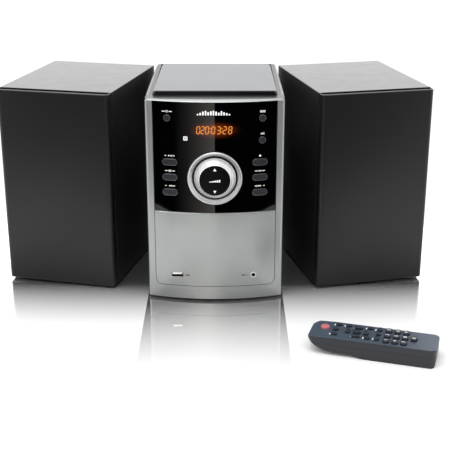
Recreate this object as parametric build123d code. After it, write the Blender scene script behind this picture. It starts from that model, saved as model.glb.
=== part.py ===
"""Mini hifi system: a top-loading CD receiver, two cloth-fronted speakers and a remote control.

Millimetres, +Z up. While it is built, X = 0 is the receiver's middle, Y = 0 is the line between the two front
corners of its curved front, and Z = 0 is the table. At the end everything is moved so that the origin is the
centre of the whole set's footprint on the table.
"""

from build123d import *
from math import atan2, cos, degrees, pi, radians, sin, sqrt, tan
import os

# ---------------------------------------------------------------- receiver: driving dimensions
UNIT_W, UNIT_W_BACK = 155.0, 151.0  # the case narrows a little towards the back
UNIT_D, UNIT_H = 200.0, 238.0
FOOT_H = 3.0  # every foot in the set is this high
FRONT_R = 240.0  # the front bows outwards on this radius
WALL = 2.5
BEZEL_BACK = 10.0  # where the front moulding meets the rear cabinet
PANEL_W, PANEL_GAP = 138.8, 0.6
PANEL_LOW, PANEL_SPLIT, PANEL_TOP = 18.5, 108.7, 236.6
ACRYLIC_INSET, ACRYLIC_T = 1.5, 3.0
LOWER_T = 2.5

KNOB_Z, KNOB_RING_R, KNOB_R, KNOB_FACE_R = 150.0, 30.5, 24.1, 17.8
RING_BORE_R = 25.2
PIVOT_Y = -5.0  # the volume rocker tips about a pin here
BUTTON_TRAVEL = 1.0
OVAL_W, OVAL_H, OVAL_X, OVAL_PITCH = 17.3, 8.0, 50.5, 17.6
ROUND_R, ROUND_X, ROUND_TOP_Z, ROUND_LOW_Z = 4.0, 52.8, 218.0, 193.0
SWITCH_FRONT, BOARD_FRONT = 1.5, 4.0

SOCKET_Z, USB_X, AUX_X = 32.3, -43.8, 44.2
USB_W, USB_H, AUX_R = 14.3, 6.0, 3.4

COVER_LOW = 231.5  # underside of the top cover
SEAM_SIDE_Y, SEAM_BOW = 2.6, 6.0  # the bowed seam between the top cover and the front moulding
LID_W, LID_FRONT = 139.5, 19.5
LID_LOW, LID_TOP_FRONT, LID_GAP = 232.5, 242.8, 0.4
HINGE_Y, HINGE_Z, HINGE_R, HINGE_PIN_R = 194.5, 235.5, 3.0, 1.2

DISC_Y, WELL_R, WELL_FLOOR = 107.0, 62.5, 222.0
DECK_Z, DECK_T = 206.0, 1.2
ROD_Z, ROD_R, ROD_XS = 212.0, 1.5, (-9.0, 12.0)
SLED_Y, SLED_TRAVEL = 83.0, 34.0
RACK_X, RACK_MODULE, RACK_TEETH = -17.0, 0.8, 14
TRAIN_MODULE, WHEEL_TEETH, PINION_TEETH = 0.6, 36, 10
GEAR_Y = SLED_Y - SLED_TRAVEL / 2
RUNNING = 0.06  # radial clearance of every pin or rod in its hole

# ---------------------------------------------------------------- speakers
SPK_W, SPK_D, SPK_H = 136.0, 178.0, 237.0
SPK_YAW, SPK_X, SPK_Y = 13.2, 120.5, 22.0  # toed out, measured at the inner front corner
GRILLE_T, CLOTH_T, BOARD_T = 12.0, 0.8, 9.0
DRIVER_Z, DRIVER_R = 142.0, 46.0
PORT_Z, PORT_R = 168.0, 17.0
PEG_R = 4.0

# ---------------------------------------------------------------- remote control
REM_L, REM_W, REM_H = 134.0, 40.0, 20.0
REM_X, REM_Y, REM_YAW = 165.5, -141.0, -17.0
REM_HEAD_R, REM_TAIL_R = 10.0, 6.5  # corners of its outline
REM_WAIST = 3.8  # how far the front half's underside is above the table
REM_PART_Z = 12.0  # height of the seam between its two shells
KEY_GAP = 0.35


# ---------------------------------------------------------------- small helpers
def block(x, y, z):
    """A box from three (low, high) pairs."""
    size = [high - low for low, high in (x, y, z)]
    return Pos(*[(low + high) / 2 for low, high in (x, y, z)]) * Box(*size)


def rod_x(radius, ends, y, z):
    """A cylinder along X between two ends."""
    low, high = ends
    return Pos((low + high) / 2, y, z) * Rot(0, 90, 0) * Cylinder(radius, high - low)


def rod_y(radius, x, ends, z):
    """A cylinder along Y between two ends."""
    low, high = ends
    return Pos(x, (low + high) / 2, z) * Rot(90, 0, 0) * Cylinder(radius, high - low)


def rod_z(radius, x, y, ends):
    """A cylinder along Z between two ends."""
    low, high = ends
    return Pos(x, y, (low + high) / 2) * Cylinder(radius, high - low)


def pill(width, height, x, z, ends):
    """A flat-sided oval bar along Y."""
    low, high = ends
    sketch = Plane.XZ * Pos(x, z) * SlotOverall(width, height)
    return Pos(0, high, 0) * extrude(sketch, high - low)


def turned_y(points, z=0.0):
    """A solid turned about a Y axis from (radius, y) corners."""
    outline = Polyline(*[(r, y, 0) for r, y in points], close=True)
    return Pos(0, 0, z) * revolve(make_face(outline), Axis.Y, 360)


def turned_z(points):
    """A solid turned about the Z axis from (radius, z) corners."""
    outline = Polyline(*[(r, 0, z) for r, z in points], close=True)
    return revolve(make_face(outline), Axis.Z, 360)


def softened(shape, edges, radius):
    """The shape with those edges rounded, at half the radius if the full one doesn't fit."""
    for size in (radius, radius / 2):
        try:
            rounded = fillet(edges, size)
        except Exception:
            continue
        if rounded.is_valid:
            return rounded
    return shape


def merged(*solids):
    """Solids that touch, made one."""
    whole = solids[0]
    for solid in solids[1:]:
        whole = whole + solid
    return whole


def gear_outline(module, teeth, backlash=0.12):
    """A spur gear's face with involute flanks, its first tooth centred on +X."""
    pitch_r = module * teeth / 2
    base_r = pitch_r * cos(radians(20))
    tip_r, root_r = pitch_r + 0.9 * module, pitch_r - 1.2 * module
    involute = lambda r: sqrt(max((r / base_r) ** 2 - 1, 0)) - atan2(sqrt(max(r * r - base_r**2, 0)), base_r)
    half_pitch = (pi * module / 2 - backlash) / (2 * pitch_r)
    start_r = max(base_r, root_r)
    steps = [start_r + (tip_r - start_r) * k / 4 for k in range(5)]
    flank = [(r, half_pitch + involute(pitch_r) - involute(r)) for r in steps]
    if root_r < base_r:
        flank.insert(0, (root_r, flank[0][1]))
    points = []
    for tooth in range(teeth):
        middle = 2 * pi * tooth / teeth
        points += [(r * cos(middle - a), r * sin(middle - a)) for r, a in flank]
        points += [(r * cos(middle + a), r * sin(middle + a)) for r, a in reversed(flank)]
    return make_face(Polyline(*points, close=True))


def gear(module, teeth, ends, turn=0.0):
    """A spur gear about the Z axis, turned by some degrees."""
    low, high = ends
    return Pos(0, 0, low) * Rot(0, 0, turn) * extrude(gear_outline(module, teeth), high - low)


def front_drum(offset):
    """The upright drum whose wall is the receiver's curved front, moved out by the offset."""
    middle = sqrt(FRONT_R**2 - (UNIT_W / 2) ** 2)
    return Pos(0, middle, UNIT_H / 2) * Cylinder(FRONT_R + offset, UNIT_H + 40)


def seam_drum(offset):
    """A wider drum, whose wall is the seam in front of the top cover."""
    radius = ((UNIT_W / 2) ** 2 + SEAM_BOW**2) / (2 * SEAM_BOW)
    return Pos(0, SEAM_SIDE_Y - SEAM_BOW + radius, UNIT_H / 2) * Cylinder(radius + offset, UNIT_H + 40)


def front_skin(outer, inner, x, z):
    """A curved slice of the front between two offsets."""
    return (block(x, (-20, BEZEL_BACK), z) & front_drum(outer)) - front_drum(inner)


def case_plan(front, inset=0.0):
    """The receiver's outline from above, behind a front line, with gently bowed sides."""
    half, back_half, back = UNIT_W / 2 - inset, UNIT_W_BACK / 2 - inset, UNIT_D - inset
    right = ThreePointArc((half, front), (half - 0.5, UNIT_D / 2), (back_half, back))
    left = ThreePointArc((-back_half, back), (0.5 - half, UNIT_D / 2), (-half, front))
    edges = [right, Line((back_half, back), (-back_half, back)), left, Line((-half, front), (half, front))]
    return make_face(edges)


def case_prism(front, inset, z, corner):
    """That outline as a solid with rounded back corners."""
    low, high = z
    solid = Pos(0, 0, low) * extrude(case_plan(front, inset), high - low)
    upright = solid.edges().filter_by(Axis.Z).sort_by(Axis.Y)[-2:]
    return softened(solid, upright, corner)


# ---------------------------------------------------------------- receiver: controls
OVAL_ROWS = (KNOB_Z + OVAL_PITCH, KNOB_Z, KNOB_Z - OVAL_PITCH)
OVAL_BUTTONS = {
    "play_button": (-OVAL_X, OVAL_ROWS[0]),
    "folder_button": (-OVAL_X, OVAL_ROWS[1]),
    "back_button": (-OVAL_X, OVAL_ROWS[2]),
    "stop_button": (OVAL_X, OVAL_ROWS[0]),
    "memory_button": (OVAL_X, OVAL_ROWS[1]),
    "next_button": (OVAL_X, OVAL_ROWS[2]),
}
ROUND_BUTTONS = {
    "standby_button": (-ROUND_X, ROUND_TOP_Z),
    "mode_button": (ROUND_X, ROUND_TOP_Z),
    "tone_button": (ROUND_X, ROUND_LOW_Z),
}


def button(x, z, width, height):
    """A cap that follows the front's curve, a flange that keeps it in, and a post to its switch."""
    cap = pill(width, height, x, z, (-20, 0)) if width > height else rod_y(width / 2, x, (-20, 0), z)
    cap = (cap & front_drum(0.3)) - front_drum(-ACRYLIC_INSET - ACRYLIC_T - 0.4)
    front_edges = cap.edges().filter_by(lambda e: e.center().Y < cap.center().Y - 0.8)
    cap = softened(cap, front_edges, 0.9)
    long_one = width > height
    behind = -ACRYLIC_INSET - ACRYLIC_T
    if long_one:
        flange = pill(width + 2.6, height + 2.6, x, z, (-20, 0))
    else:
        flange = rod_y(width / 2 + 1.3, x, (-20, 0), z)
    flange = (flange & front_drum(behind - 0.3)) - front_drum(behind - 1.3)
    post = rod_y(1.8, x, (-4.0, SWITCH_FRONT - BUTTON_TRAVEL - 0.2), z)
    return merged(cap, flange, post)


def cut_controls(panel, margin):
    """A panel with its holes for the buttons and the volume control."""
    for x, z in OVAL_BUTTONS.values():
        panel -= pill(OVAL_W + margin, OVAL_H + margin, x, z, (-20, BEZEL_BACK))
    for x, z in ROUND_BUTTONS.values():
        panel -= rod_y(ROUND_R + margin / 2, x, (-20, BEZEL_BACK), z)
    return panel


def knob_ring():
    """The fixed silver dish around the volume control, with a rear flange and the pivot's two ears."""
    outline = [
        (0, -3.0), (RING_BORE_R, -3.0), (RING_BORE_R, -10.4),
        (29.0, -14.4), (30.0, -14.4), (KNOB_RING_R, -13.8),
        (KNOB_RING_R, -3.4), (34.0, -3.4), (34.0, -1.4), (0, -1.4),
    ]  # fmt: skip
    ring = turned_y(outline, KNOB_Z)
    for side in (-1, 1):
        ear = block((side * 10.5 - 1.5, side * 10.5 + 1.5), (-7.6, -2.9), (KNOB_Z - 3, KNOB_Z + 3))
        ring = ring + ear
        ring -= rod_y(3.6, 0, (-6, 0), KNOB_Z + side * 14)
    return ring - rod_x(1.5 + RUNNING, (-13, 13), PIVOT_Y, KNOB_Z)


def volume_rocker():
    """The round silver rocker: flat face, hollow back, a cross pin, and a post above and below."""
    shell = turned_y([
        (0, -20.4), (KNOB_FACE_R - 0.6, -20.4), (KNOB_FACE_R, -19.8),
        (23.3, -11.6), (KNOB_R, -10.6), (KNOB_R, -8.0),
        (KNOB_R - 1.6, -8.0), (KNOB_R - 1.6, -10.4), (KNOB_FACE_R - 1.6, -18.2), (0, -18.2),
    ], KNOB_Z)  # fmt: skip
    boss = block((-8.6, 8.6), (-18.4, PIVOT_Y + 1.3), (KNOB_Z - 2.2, KNOB_Z + 2.2))
    pin = rod_x(1.5, (-12, 12), PIVOT_Y, KNOB_Z)
    posts = [rod_y(2.0, 0, (-18.4, SWITCH_FRONT - 1.3), KNOB_Z + side * 14) for side in (-1, 1)]
    return merged(shell, boss, pin, *posts)


def control_panel():
    """The glossy black acrylic facia."""
    half = PANEL_W / 2 - PANEL_GAP
    back = -ACRYLIC_INSET - ACRYLIC_T
    skin = front_skin(-ACRYLIC_INSET, back, (-half, half), (PANEL_SPLIT + 0.3, PANEL_TOP - 0.3))
    skin = cut_controls(skin, 0.7)
    return skin - rod_y(KNOB_RING_R + 0.2, 0, (-20, BEZEL_BACK), KNOB_Z)


def rounded_opening(gap, y, low=PANEL_LOW, high=PANEL_TOP):
    """The panel opening's shape, with round corners at its foot."""
    half = PANEL_W / 2 - gap
    shape = block((-half, half), y, (low + gap, high))
    feet = shape.edges().filter_by(Axis.Y).sort_by(Axis.Z)[:2]
    return fillet(feet, 7.0 - gap)


def lower_panel():
    """The plain silver door-like panel with the two front sockets' holes."""
    skin = rounded_opening(PANEL_GAP, (-20, BEZEL_BACK), high=PANEL_SPLIT)
    skin = (skin & front_drum(0.0)) - front_drum(-LOWER_T)
    top = skin.edges().filter_by(lambda e: e.center().Z > PANEL_SPLIT - 0.1 and e.center().Y < -6.9)
    skin = softened(skin, top.sort_by(Axis.Y)[:1], 1.4)
    skin -= block((USB_X - 7.4, USB_X + 7.4), (-20, 5), (SOCKET_Z - 3.2, SOCKET_Z + 3.2))
    return skin - rod_y(AUX_R + 0.2, AUX_X, (-20, 5), SOCKET_Z)


def front_bezel():
    """The silver front moulding: two round-edged columns, a cap, a plinth and a wall behind the panels."""
    half = UNIT_W / 2
    body = block((-half, half), (-20, BEZEL_BACK), (FOOT_H, UNIT_H)) & front_drum(0.0)
    corners = body.edges().filter_by(Axis.Z).sort_by(Axis.Y)[:2]
    body = softened(body, corners, 4.0)
    edges = body.edges().filter_by(lambda e: e.center().Z > UNIT_H - 0.1)
    shoulders = edges.filter_by(lambda e: abs(e.center().X) > half - 1.5)
    body = softened(body, shoulders, 3.0)
    body -= block((-half - 1, half + 1), (-20, 20), (COVER_LOW - 0.3, UNIT_H + 1)) & seam_drum(0.3)
    lower = rounded_opening(0.0, (-20, BEZEL_BACK), high=PANEL_SPLIT)
    body -= lower - front_drum(-LOWER_T - 0.1)
    upper = block((-PANEL_W / 2, PANEL_W / 2), (-20, BEZEL_BACK), (PANEL_SPLIT, PANEL_TOP))
    body -= upper - front_drum(-ACRYLIC_INSET - ACRYLIC_T - 0.1)
    hollow = block((WALL - half, half - WALL), (-20, 20), (FOOT_H + WALL, PANEL_TOP)) & front_drum(-6.7)
    body -= hollow
    body = cut_controls(body, 4.2)
    body -= rod_y(KNOB_RING_R + 1.2, 0, (-20, BEZEL_BACK), KNOB_Z)
    body -= block((-31, 31), (-20, 5), (194, 216))
    body -= block((USB_X - 8, USB_X + 8), (-20, 5), (SOCKET_Z - 4, SOCKET_Z + 4))
    return body - rod_y(AUX_R + 1.4, AUX_X, (-20, 5), SOCKET_Z)


def usb_socket():
    """A folded steel shell with a plastic tongue and a moulded back."""
    across = (USB_X - USB_W / 2, USB_X + USB_W / 2)
    outer = block(across, (-8.4, 8), (SOCKET_Z - USB_H / 2, SOCKET_Z + USB_H / 2))
    inner = block((USB_X - 6.35, USB_X + 6.35), (-9, 5), (SOCKET_Z - 2.55, SOCKET_Z + 2.55))
    tongue = block((USB_X - 5.6, USB_X + 5.6), (-6.5, 5.5), (SOCKET_Z + 0.3, SOCKET_Z + 2.1))
    return (outer - inner) + tongue


def aux_jack():
    """A 3.5 mm jack: a polished nut, a black barrel and the bore."""
    nut = rod_y(AUX_R, AUX_X, (-9.6, 0.4), SOCKET_Z)
    nut = softened(nut, nut.edges().sort_by(Axis.Y)[:1], 0.6)
    barrel = block((AUX_X - 5, AUX_X + 5), (0.2, 11), (SOCKET_Z - 4.5, SOCKET_Z + 4.5))
    return nut + barrel - rod_y(1.8, AUX_X, (-12, 6), SOCKET_Z)


# ---------------------------------------------------------------- receiver: case
def rear_cabinet():
    """Sides and back in one moulding, with air slots and the openings for the rear sockets."""
    z = (FOOT_H, COVER_LOW - 0.3)
    outer = case_prism(BEZEL_BACK + 0.3, 0.0, z, 5.0)
    inner = case_prism(BEZEL_BACK - 1, WALL, (FOOT_H - 1, UNIT_H), 3.0)
    shell = outer - inner
    for row in range(7):
        low = 150 + row * 8
        shell -= block((-90, 90), (70, 150), (low, low + 3))
        shell -= block((-45, 45), (190, 210), (low, low + 3))
    for x, _, z_hole in SCREW_PLACES:
        shell -= rod_y(1.6, x, (190, 210), z_hole)
    shell -= block((-46, 14), (190, 210), (48, 76))
    return shell - block((27.8, 58.2), (190, 210), (29.8, 50.2))


SCREW_PLACES = [(side * 66, UNIT_D, z) for side in (-1, 1) for z in (12, 118, 222)]


def case_screws():
    """Six cross-head screws in the back of the case."""
    screws = []
    for x, y, z in SCREW_PLACES:
        head = rod_y(3.0, x, (y, y + 1.6), z)
        head = softened(head, head.edges().sort_by(Axis.Y)[-1:], 0.8)
        shank = rod_y(1.4, x, (y - 9, y + 0.2), z)
        slots = block((x - 1.8, x + 1.8), (y + 0.7, y + 2), (z - 0.35, z + 0.35))
        slots += block((x - 0.35, x + 0.35), (y + 0.7, y + 2), (z - 1.8, z + 1.8))
        screws.append(merged(head, shank) - slots)
    return screws


def base_tray():
    """The floor of the case, with an upstand to stiffen it and slots for air."""
    plate = case_prism(BEZEL_BACK + 0.6, WALL + 0.3, (FOOT_H, FOOT_H + WALL), 3.0)
    for row in range(5):
        y = 70 + row * 12
        plate -= block((-35, 35), (y, y + 3), (0, 10))
    return plate


def rubber_feet():
    """Four round pads under the receiver."""
    return [rod_z(7.0, x, y, (0, FOOT_H)) for x in (-60, 60) for y in (28, 178)]


def top_cover():
    """The silver frame round the lid, with a ledge in front and holes for the lid's two hinge pins."""
    cover = case_prism(-20.0, 0.0, (COVER_LOW, UNIT_H), 5.0) & seam_drum(0.0)
    rim = cover.edges().filter_by(lambda e: e.center().Z > UNIT_H - 0.1 and abs(e.center().X) > 70)
    cover = softened(cover, rim, 1.0)
    half_lid = LID_W / 2 + LID_GAP
    cover -= block((-half_lid, half_lid), (18.0, HINGE_Y + HINGE_R + LID_GAP), (200, 250))
    cover -= block((-71, 71), (5.0, 15.5), (COVER_LOW - 1, UNIT_H - WALL))
    cover -= block((-71, 71), (-20, 2.6), (COVER_LOW - 1, UNIT_H - 1.2))
    return cover - rod_x(HINGE_PIN_R + RUNNING, (-74.2, 74.2), HINGE_Y, HINGE_Z)


def lid_profile(inset):
    """The lid's side view, a thin wedge with a round back edge about its hinge."""
    radius = HINGE_R - inset
    slope = (HINGE_Z + HINGE_R - LID_TOP_FRONT) / (HINGE_Y - LID_FRONT)
    front, nose = LID_FRONT + inset, LID_TOP_FRONT - inset
    low, high = HINGE_Z - radius, HINGE_Z + radius
    corners = [(HINGE_Y, low), (front, low), (front, nose + slope * inset), (HINGE_Y, high)]
    lines = [Line(corners[i], corners[i + 1]) for i in range(3)]
    lines.append(ThreePointArc(corners[3], (HINGE_Y + radius, HINGE_Z), corners[0]))
    return Plane.YZ * make_face(lines)


def cd_lid():
    """The lid: a hollow wedge with soft side edges, a cage for the disc clamp and two pins at the back."""
    half = LID_W / 2
    lid = Pos(-half, 0, 0) * extrude(lid_profile(0), LID_W)
    sides = lid.edges().filter_by(lambda e: e.center().Z > 239 and abs(e.center().X) > half - 0.1)
    lid = softened(lid, sides, 3.2)
    nose = lid.edges().filter_by(lambda e: e.center().Z > 242 and e.center().Y < LID_FRONT + 1)
    lid = softened(lid, nose, 0.6)
    pocket = Pos(2.4 - half, 0, 0) * extrude(lid_profile(2.2), LID_W - 4.8)
    under = block((2.4 - half, half - 2.4), (LID_FRONT + 2.4, 186), (LID_LOW - 1, LID_LOW + 2.3))
    lid -= pocket & block((-half, half), (0, 186), (200, 260))
    lid -= under
    section = [(14.0, 232.5), (21.0, 232.5), (21.0, 240.0), (19.0, 240.0), (19.0, 233.9), (14.0, 233.9)]
    cage = turned_z(section)
    lid = lid + Pos(0, DISC_Y, 0) * cage
    for side in (-1, 1):
        ends = sorted((side * (half - 0.5), side * 73.8))
        lid = lid + rod_x(HINGE_PIN_R, ends, HINGE_Y, HINGE_Z)
    return lid


def lid_grip():
    """The gloss black strip on the lid's front edge, where a fingertip lifts it."""
    strip = block((-67.5, 67.5), (LID_FRONT - 1.2, LID_FRONT), (233.4, 242.1))
    ends = strip.edges().filter_by(Axis.Y).sort_by(Axis.Z)[-2:]
    return fillet(ends, 3.0)


def disc_clamp():
    """The magnetic puck that turns with the disc, hung in the lid's cage."""
    section = [
        (0, 229.0), (15.0, 229.0), (15.0, 231.6), (13.0, 232.2),
        (13.0, 234.4), (17.5, 234.4), (17.5, 236.0), (0, 236.0),
    ]  # fmt: skip
    puck = turned_z(section)
    puck -= turned_z([(0, 228.0), (7.7, 228.0), (6.4, 232.0), (0, 232.0)])
    return Pos(0, DISC_Y, 0) * puck


# ---------------------------------------------------------------- receiver: disc mechanism
PILLARS = [(x, DISC_Y + y) for x in (-60, 60) for y in (-52, 52)]
WHEEL_X = RACK_X - RACK_MODULE * RACK_TEETH / 2
PINION_X = WHEEL_X - TRAIN_MODULE * (WHEEL_TEETH + PINION_TEETH) / 2
SPINDLE_R = 1.0


def disc_well():
    """The black tray that the disc drops into, open at its middle for the hub and the lens."""
    plate = block((-72.5, 72.5), (20, 193), (229.3, 231.2))
    outer_r, underside = WELL_R + 1.5, WELL_FLOOR - 1.5
    bowl = turned_z([(0, underside), (outer_r, underside), (outer_r, 231.3), (0, 231.3)])
    tray = plate + Pos(0, DISC_Y, 0) * bowl
    tray -= rod_z(WELL_R, 0, DISC_Y, (WELL_FLOOR, 240))
    for side in (-1, 1):
        tray -= rod_z(12, side * WELL_R, DISC_Y, (WELL_FLOOR, 240)) & block((-69, 69), (0, 200), (200, 240))
    tray -= rod_z(17, 0, DISC_Y, (200, 240))
    tray -= block((-8, 8), (DISC_Y - 60, DISC_Y), (200, 240))
    for x, y in PILLARS:
        tray = tray + rod_z(3.5, x, y, (DECK_Z + DECK_T + 2.0, 229.5))
        tray = tray + rod_z(1.4, x, y, (DECK_Z - 3.0, DECK_Z + DECK_T + 2.2))
    return tray


def mech_deck():
    """The pressed steel deck, its rubber mounts, and the two guide rods on their posts."""
    deck = block((-66, 66), (SLED_Y - 50, DISC_Y + 58), (DECK_Z, DECK_Z + DECK_T))
    deck = fillet(deck.edges().filter_by(Axis.Z), 5.0)
    deck -= rod_z(4.0, 0, DISC_Y, (200, 215))
    deck -= rod_z(1.3, PINION_X, GEAR_Y, (200, 215))
    for x in (-42, 42):
        deck -= rod_z(14, x, DISC_Y + 30, (200, 215))
    mounts = []
    for x, y in PILLARS:
        deck -= rod_z(3.0, x, y, (200, 215))
        section = [
            (1.6, 204.2), (5.0, 204.2), (5.0, 205.9), (2.9, 205.9),
            (2.9, 207.3), (5.0, 207.3), (5.0, 209.0), (1.6, 209.0),
        ]  # fmt: skip
        collar = turned_z(section)
        mounts.append(Pos(x, y, 0) * collar)
    deck = deck + rod_z(1.2, WHEEL_X, GEAR_Y, (DECK_Z + 0.5, 214))
    rods = []
    for x in ROD_XS:
        rods.append(rod_y(ROD_R, x, (SLED_Y - 48.5, SLED_Y + 14), ROD_Z))
        for y in (SLED_Y - 47, SLED_Y + 12.5):
            post = block((x - 2.5, x + 2.5), (y - 1.5, y + 1.5), (DECK_Z + 1, ROD_Z + 2.5))
            deck = deck + (post - rods[-1])
    return [*deck.solids(), *mounts, *rods]


def spindle_motor():
    """The small can motor under the deck that turns the disc."""
    can = rod_z(12.0, 0, DISC_Y, (194.0, DECK_Z))
    can = softened(can, can.edges().sort_by(Axis.Z)[:1], 1.5)
    nose = rod_z(3.6, 0, DISC_Y, (DECK_Z - 0.2, DECK_Z + 2.5))
    return can + nose - rod_z(SPINDLE_R + RUNNING, 0, DISC_Y, (198, 220))


def turntable():
    """The hub the disc sits on, with its centring cone and the motor's shaft."""
    hub = turned_z([
        (0, 212), (4.5, 212), (4.5, 222.5), (14.0, 222.5), (14.0, 225.0),
        (7.6, 225.0), (7.2, 226.6), (5.6, 228.4), (0, 228.4),
    ])  # fmt: skip
    shaft = rod_z(SPINDLE_R, 0, 0, (199, 213))
    rubber = turned_z([(9.5, 224.8), (13.5, 224.8), (13.5, 225.6), (9.5, 225.6)])
    return Pos(0, DISC_Y, 0) * merged(hub, shaft, rubber)


def rack():
    """The toothed edge of the sled, facing the gear."""
    pitch = pi * RACK_MODULE
    half = (pitch / 2 - 0.12) / 2
    slant = tan(radians(20)) * RACK_MODULE
    count = int((SLED_TRAVEL + 14) / pitch / 2) * 2 + 1
    root, tip = RACK_X + 1.2 * RACK_MODULE, RACK_X - 0.9 * RACK_MODULE
    bar = block((root - 0.01, RACK_X + 3.6), (-count / 2 * pitch, count / 2 * pitch), (209.6, 212.4))
    for k in range(count):
        y = (k - count // 2) * pitch
        at_root, at_tip = half + slant * 1.2, half - slant * 0.9
        corners = [(root, y - at_root), (tip, y - at_tip), (tip, y + at_tip), (root, y + at_root)]
        tooth = extrude(make_face(Polyline(*corners, close=True)), 2.8)
        bar = bar + Pos(0, 0, 209.6) * tooth
    return bar


def laser_sled():
    """The sliding carriage: its body on two rods, the rack, and the lens on a round mount."""
    body = block((-13.9, 17.0), (-10, 10), (209.6, 215.6))
    body = softened(body, body.edges().filter_by(Axis.Z), 2.0)
    lens_mount = rod_z(5.5, 0, 0, (215.4, 217.6)) + rod_z(3.2, 0, 0, (217.4, 218.8))
    sled = merged(body, lens_mount, rack())
    for x in ROD_XS:
        sled -= rod_y(ROD_R + RUNNING, x, (-40, 40), ROD_Z)
    return Pos(0, SLED_Y, 0) * sled


def small_gear_turn():
    """The turn that puts a tooth of the small gear in a gap of the rack."""
    pitch = pi * RACK_MODULE
    along = ((GEAR_Y - SLED_Y) / pitch) % 1.0
    return degrees((0.5 - along) * pitch / (RACK_MODULE * RACK_TEETH / 2))


def sled_gear():
    """The compound gear: a wide wheel that the motor's pinion turns, and a small one that moves the rack."""
    wheel = gear(TRAIN_MODULE, WHEEL_TEETH, (207.9, 209.3))
    small = gear(RACK_MODULE, RACK_TEETH, (209.2, 212.4), small_gear_turn())
    whole = wheel + small - rod_z(1.2 + RUNNING, 0, 0, (200, 220))
    return Pos(WHEEL_X, GEAR_Y, 0) * whole


def sled_pinion():
    """The pinion on the sled motor's shaft."""
    pinion = gear(TRAIN_MODULE, PINION_TEETH, (207.6, 210.6), 180.0 / PINION_TEETH)
    shaft = rod_z(0.9, 0, 0, (198, 208))
    return Pos(PINION_X, GEAR_Y, 0) * (pinion + shaft)


def sled_motor():
    """The sled's own can motor under the deck."""
    can = rod_z(10.0, PINION_X, GEAR_Y, (192, DECK_Z))
    can = softened(can, can.edges().sort_by(Axis.Z)[:1], 1.2)
    return can - rod_z(0.9 + RUNNING, PINION_X, GEAR_Y, (196, 210))


# ---------------------------------------------------------------- receiver: electronics
def front_board():
    """The circuit board behind the controls, with a switch for every button and two for the rocker."""
    board = block((-66, 66), (BOARD_FRONT, BOARD_FRONT + 1.6), (114, 230))
    places = [*OVAL_BUTTONS.values(), *ROUND_BUTTONS.values(), (0, KNOB_Z - 14), (0, KNOB_Z + 14)]
    for x, z in places:
        board = board + block((x - 3, x + 3), (SWITCH_FRONT + 0.6, BOARD_FRONT + 0.2), (z - 3, z + 3))
        board = board + rod_y(1.7, x, (SWITCH_FRONT, BOARD_FRONT), z)
    return board


def display_module():
    """The display behind the acrylic, with its leads to the board."""
    body = block((-30, 30), (-5.6, 1.5), (195, 215))
    leads = [rod_y(0.35, x, (1.4, BOARD_FRONT), 197) for x in range(-25, 26, 5)]
    return merged(body, *leads)


def main_board():
    """The amplifier and radio board, with its chips, capacitors and connectors, on four spacers."""
    board = block((-66, 40), (22, 150), (16, 17.6))
    for x, y in ((-60, 28), (34, 28), (-60, 144), (34, 144)):
        board = board + rod_z(3, x, y, (FOOT_H + WALL, 16.2))
    capacitors = ((-50, 60, 8, 28), (-30, 60, 8, 28), (-50, 85, 6.5, 20), (0, 110, 5, 12), (15, 110, 5, 12))
    for x, y, r, h in capacitors:
        board = board + rod_z(r, x, y, (17.5, 17.6 + h))
    chips = ((-10, 50, 16, 16, 2.5), (20, 70, 22, 12, 8), (-20, 125, 30, 6, 16), (22, 130, 14, 10, 6))
    for x, y, w, d, h in chips:
        board = board + block((x - w / 2, x + w / 2), (y - d / 2, y + d / 2), (17.5, 17.6 + h))
    return board


def transformer():
    """The mains transformer: an iron core with a winding, on a folded bracket."""
    core = block((46, 72), (70, 118), (12, 58))
    winding = block((43.0, 72.4), (78, 110), (20, 50))
    bracket = block((43.5, 72), (64, 124), (FOOT_H + WALL, 12.1))
    return merged(core, fillet(winding.edges().filter_by(Axis.Y), 3.0), bracket)


def heat_sink():
    """The finned aluminium block that cools the amplifier."""
    sink = block((-62, -6), (156, 160), (17.8, 100))
    for k in range(9):
        x = -61 + k * 6.6
        sink = sink + block((x, x + 1.6), (159.9, 182), (17.8, 100))
    foot = block((-62, -6), (156, 166), (FOOT_H + WALL, 18.0))
    return sink + foot


def rear_sockets():
    """A black plate in the back of the case, with two speaker sockets and the aerial socket."""
    plate = block((-45.8, 13.8), (196.5, 200.8), (48.2, 75.8))
    shapes = []
    for x in (-34, -14):
        plate -= rod_y(3.4, x, (190, 210), 62)
        sleeve = turned_y([(3.3, 0), (4.15, 0), (4.15, 9.2), (3.3, 9.2)])
        core = turned_y([(1.6, 0.2), (3.3, 0.2), (3.3, 2.4), (2.5, 2.4), (2.5, 8.6), (1.6, 8.6)])
        shapes.append(Pos(x, UNIT_D + 0.8, 62) * merged(sleeve, core))
    section = [(1.3, 0), (6.0, 0), (6.0, 1.5), (4.7, 1.5), (4.7, 9.5), (4.1, 9.5), (4.1, 2.5), (1.3, 2.5)]
    aerial = turned_y(section)
    shapes.append(Pos(6, UNIT_D + 0.8, 62) * aerial)
    return [plate, *shapes]


def mains_inlet():
    """The two-pin mains inlet, a figure-of-eight cup with its pins."""
    body = block((28, 58), (186, 200), (30, 50)) + block((26, 60), (200, 201.6), (28.4, 51.6))
    cup = pill(17.6, 9.6, 43, 40, (190, 204))
    pins = [rod_y(1.2, 43 + side * 4.3, (189.8, 200.4), 40) for side in (-1, 1)]
    return merged(body - cup, *pins)


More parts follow.
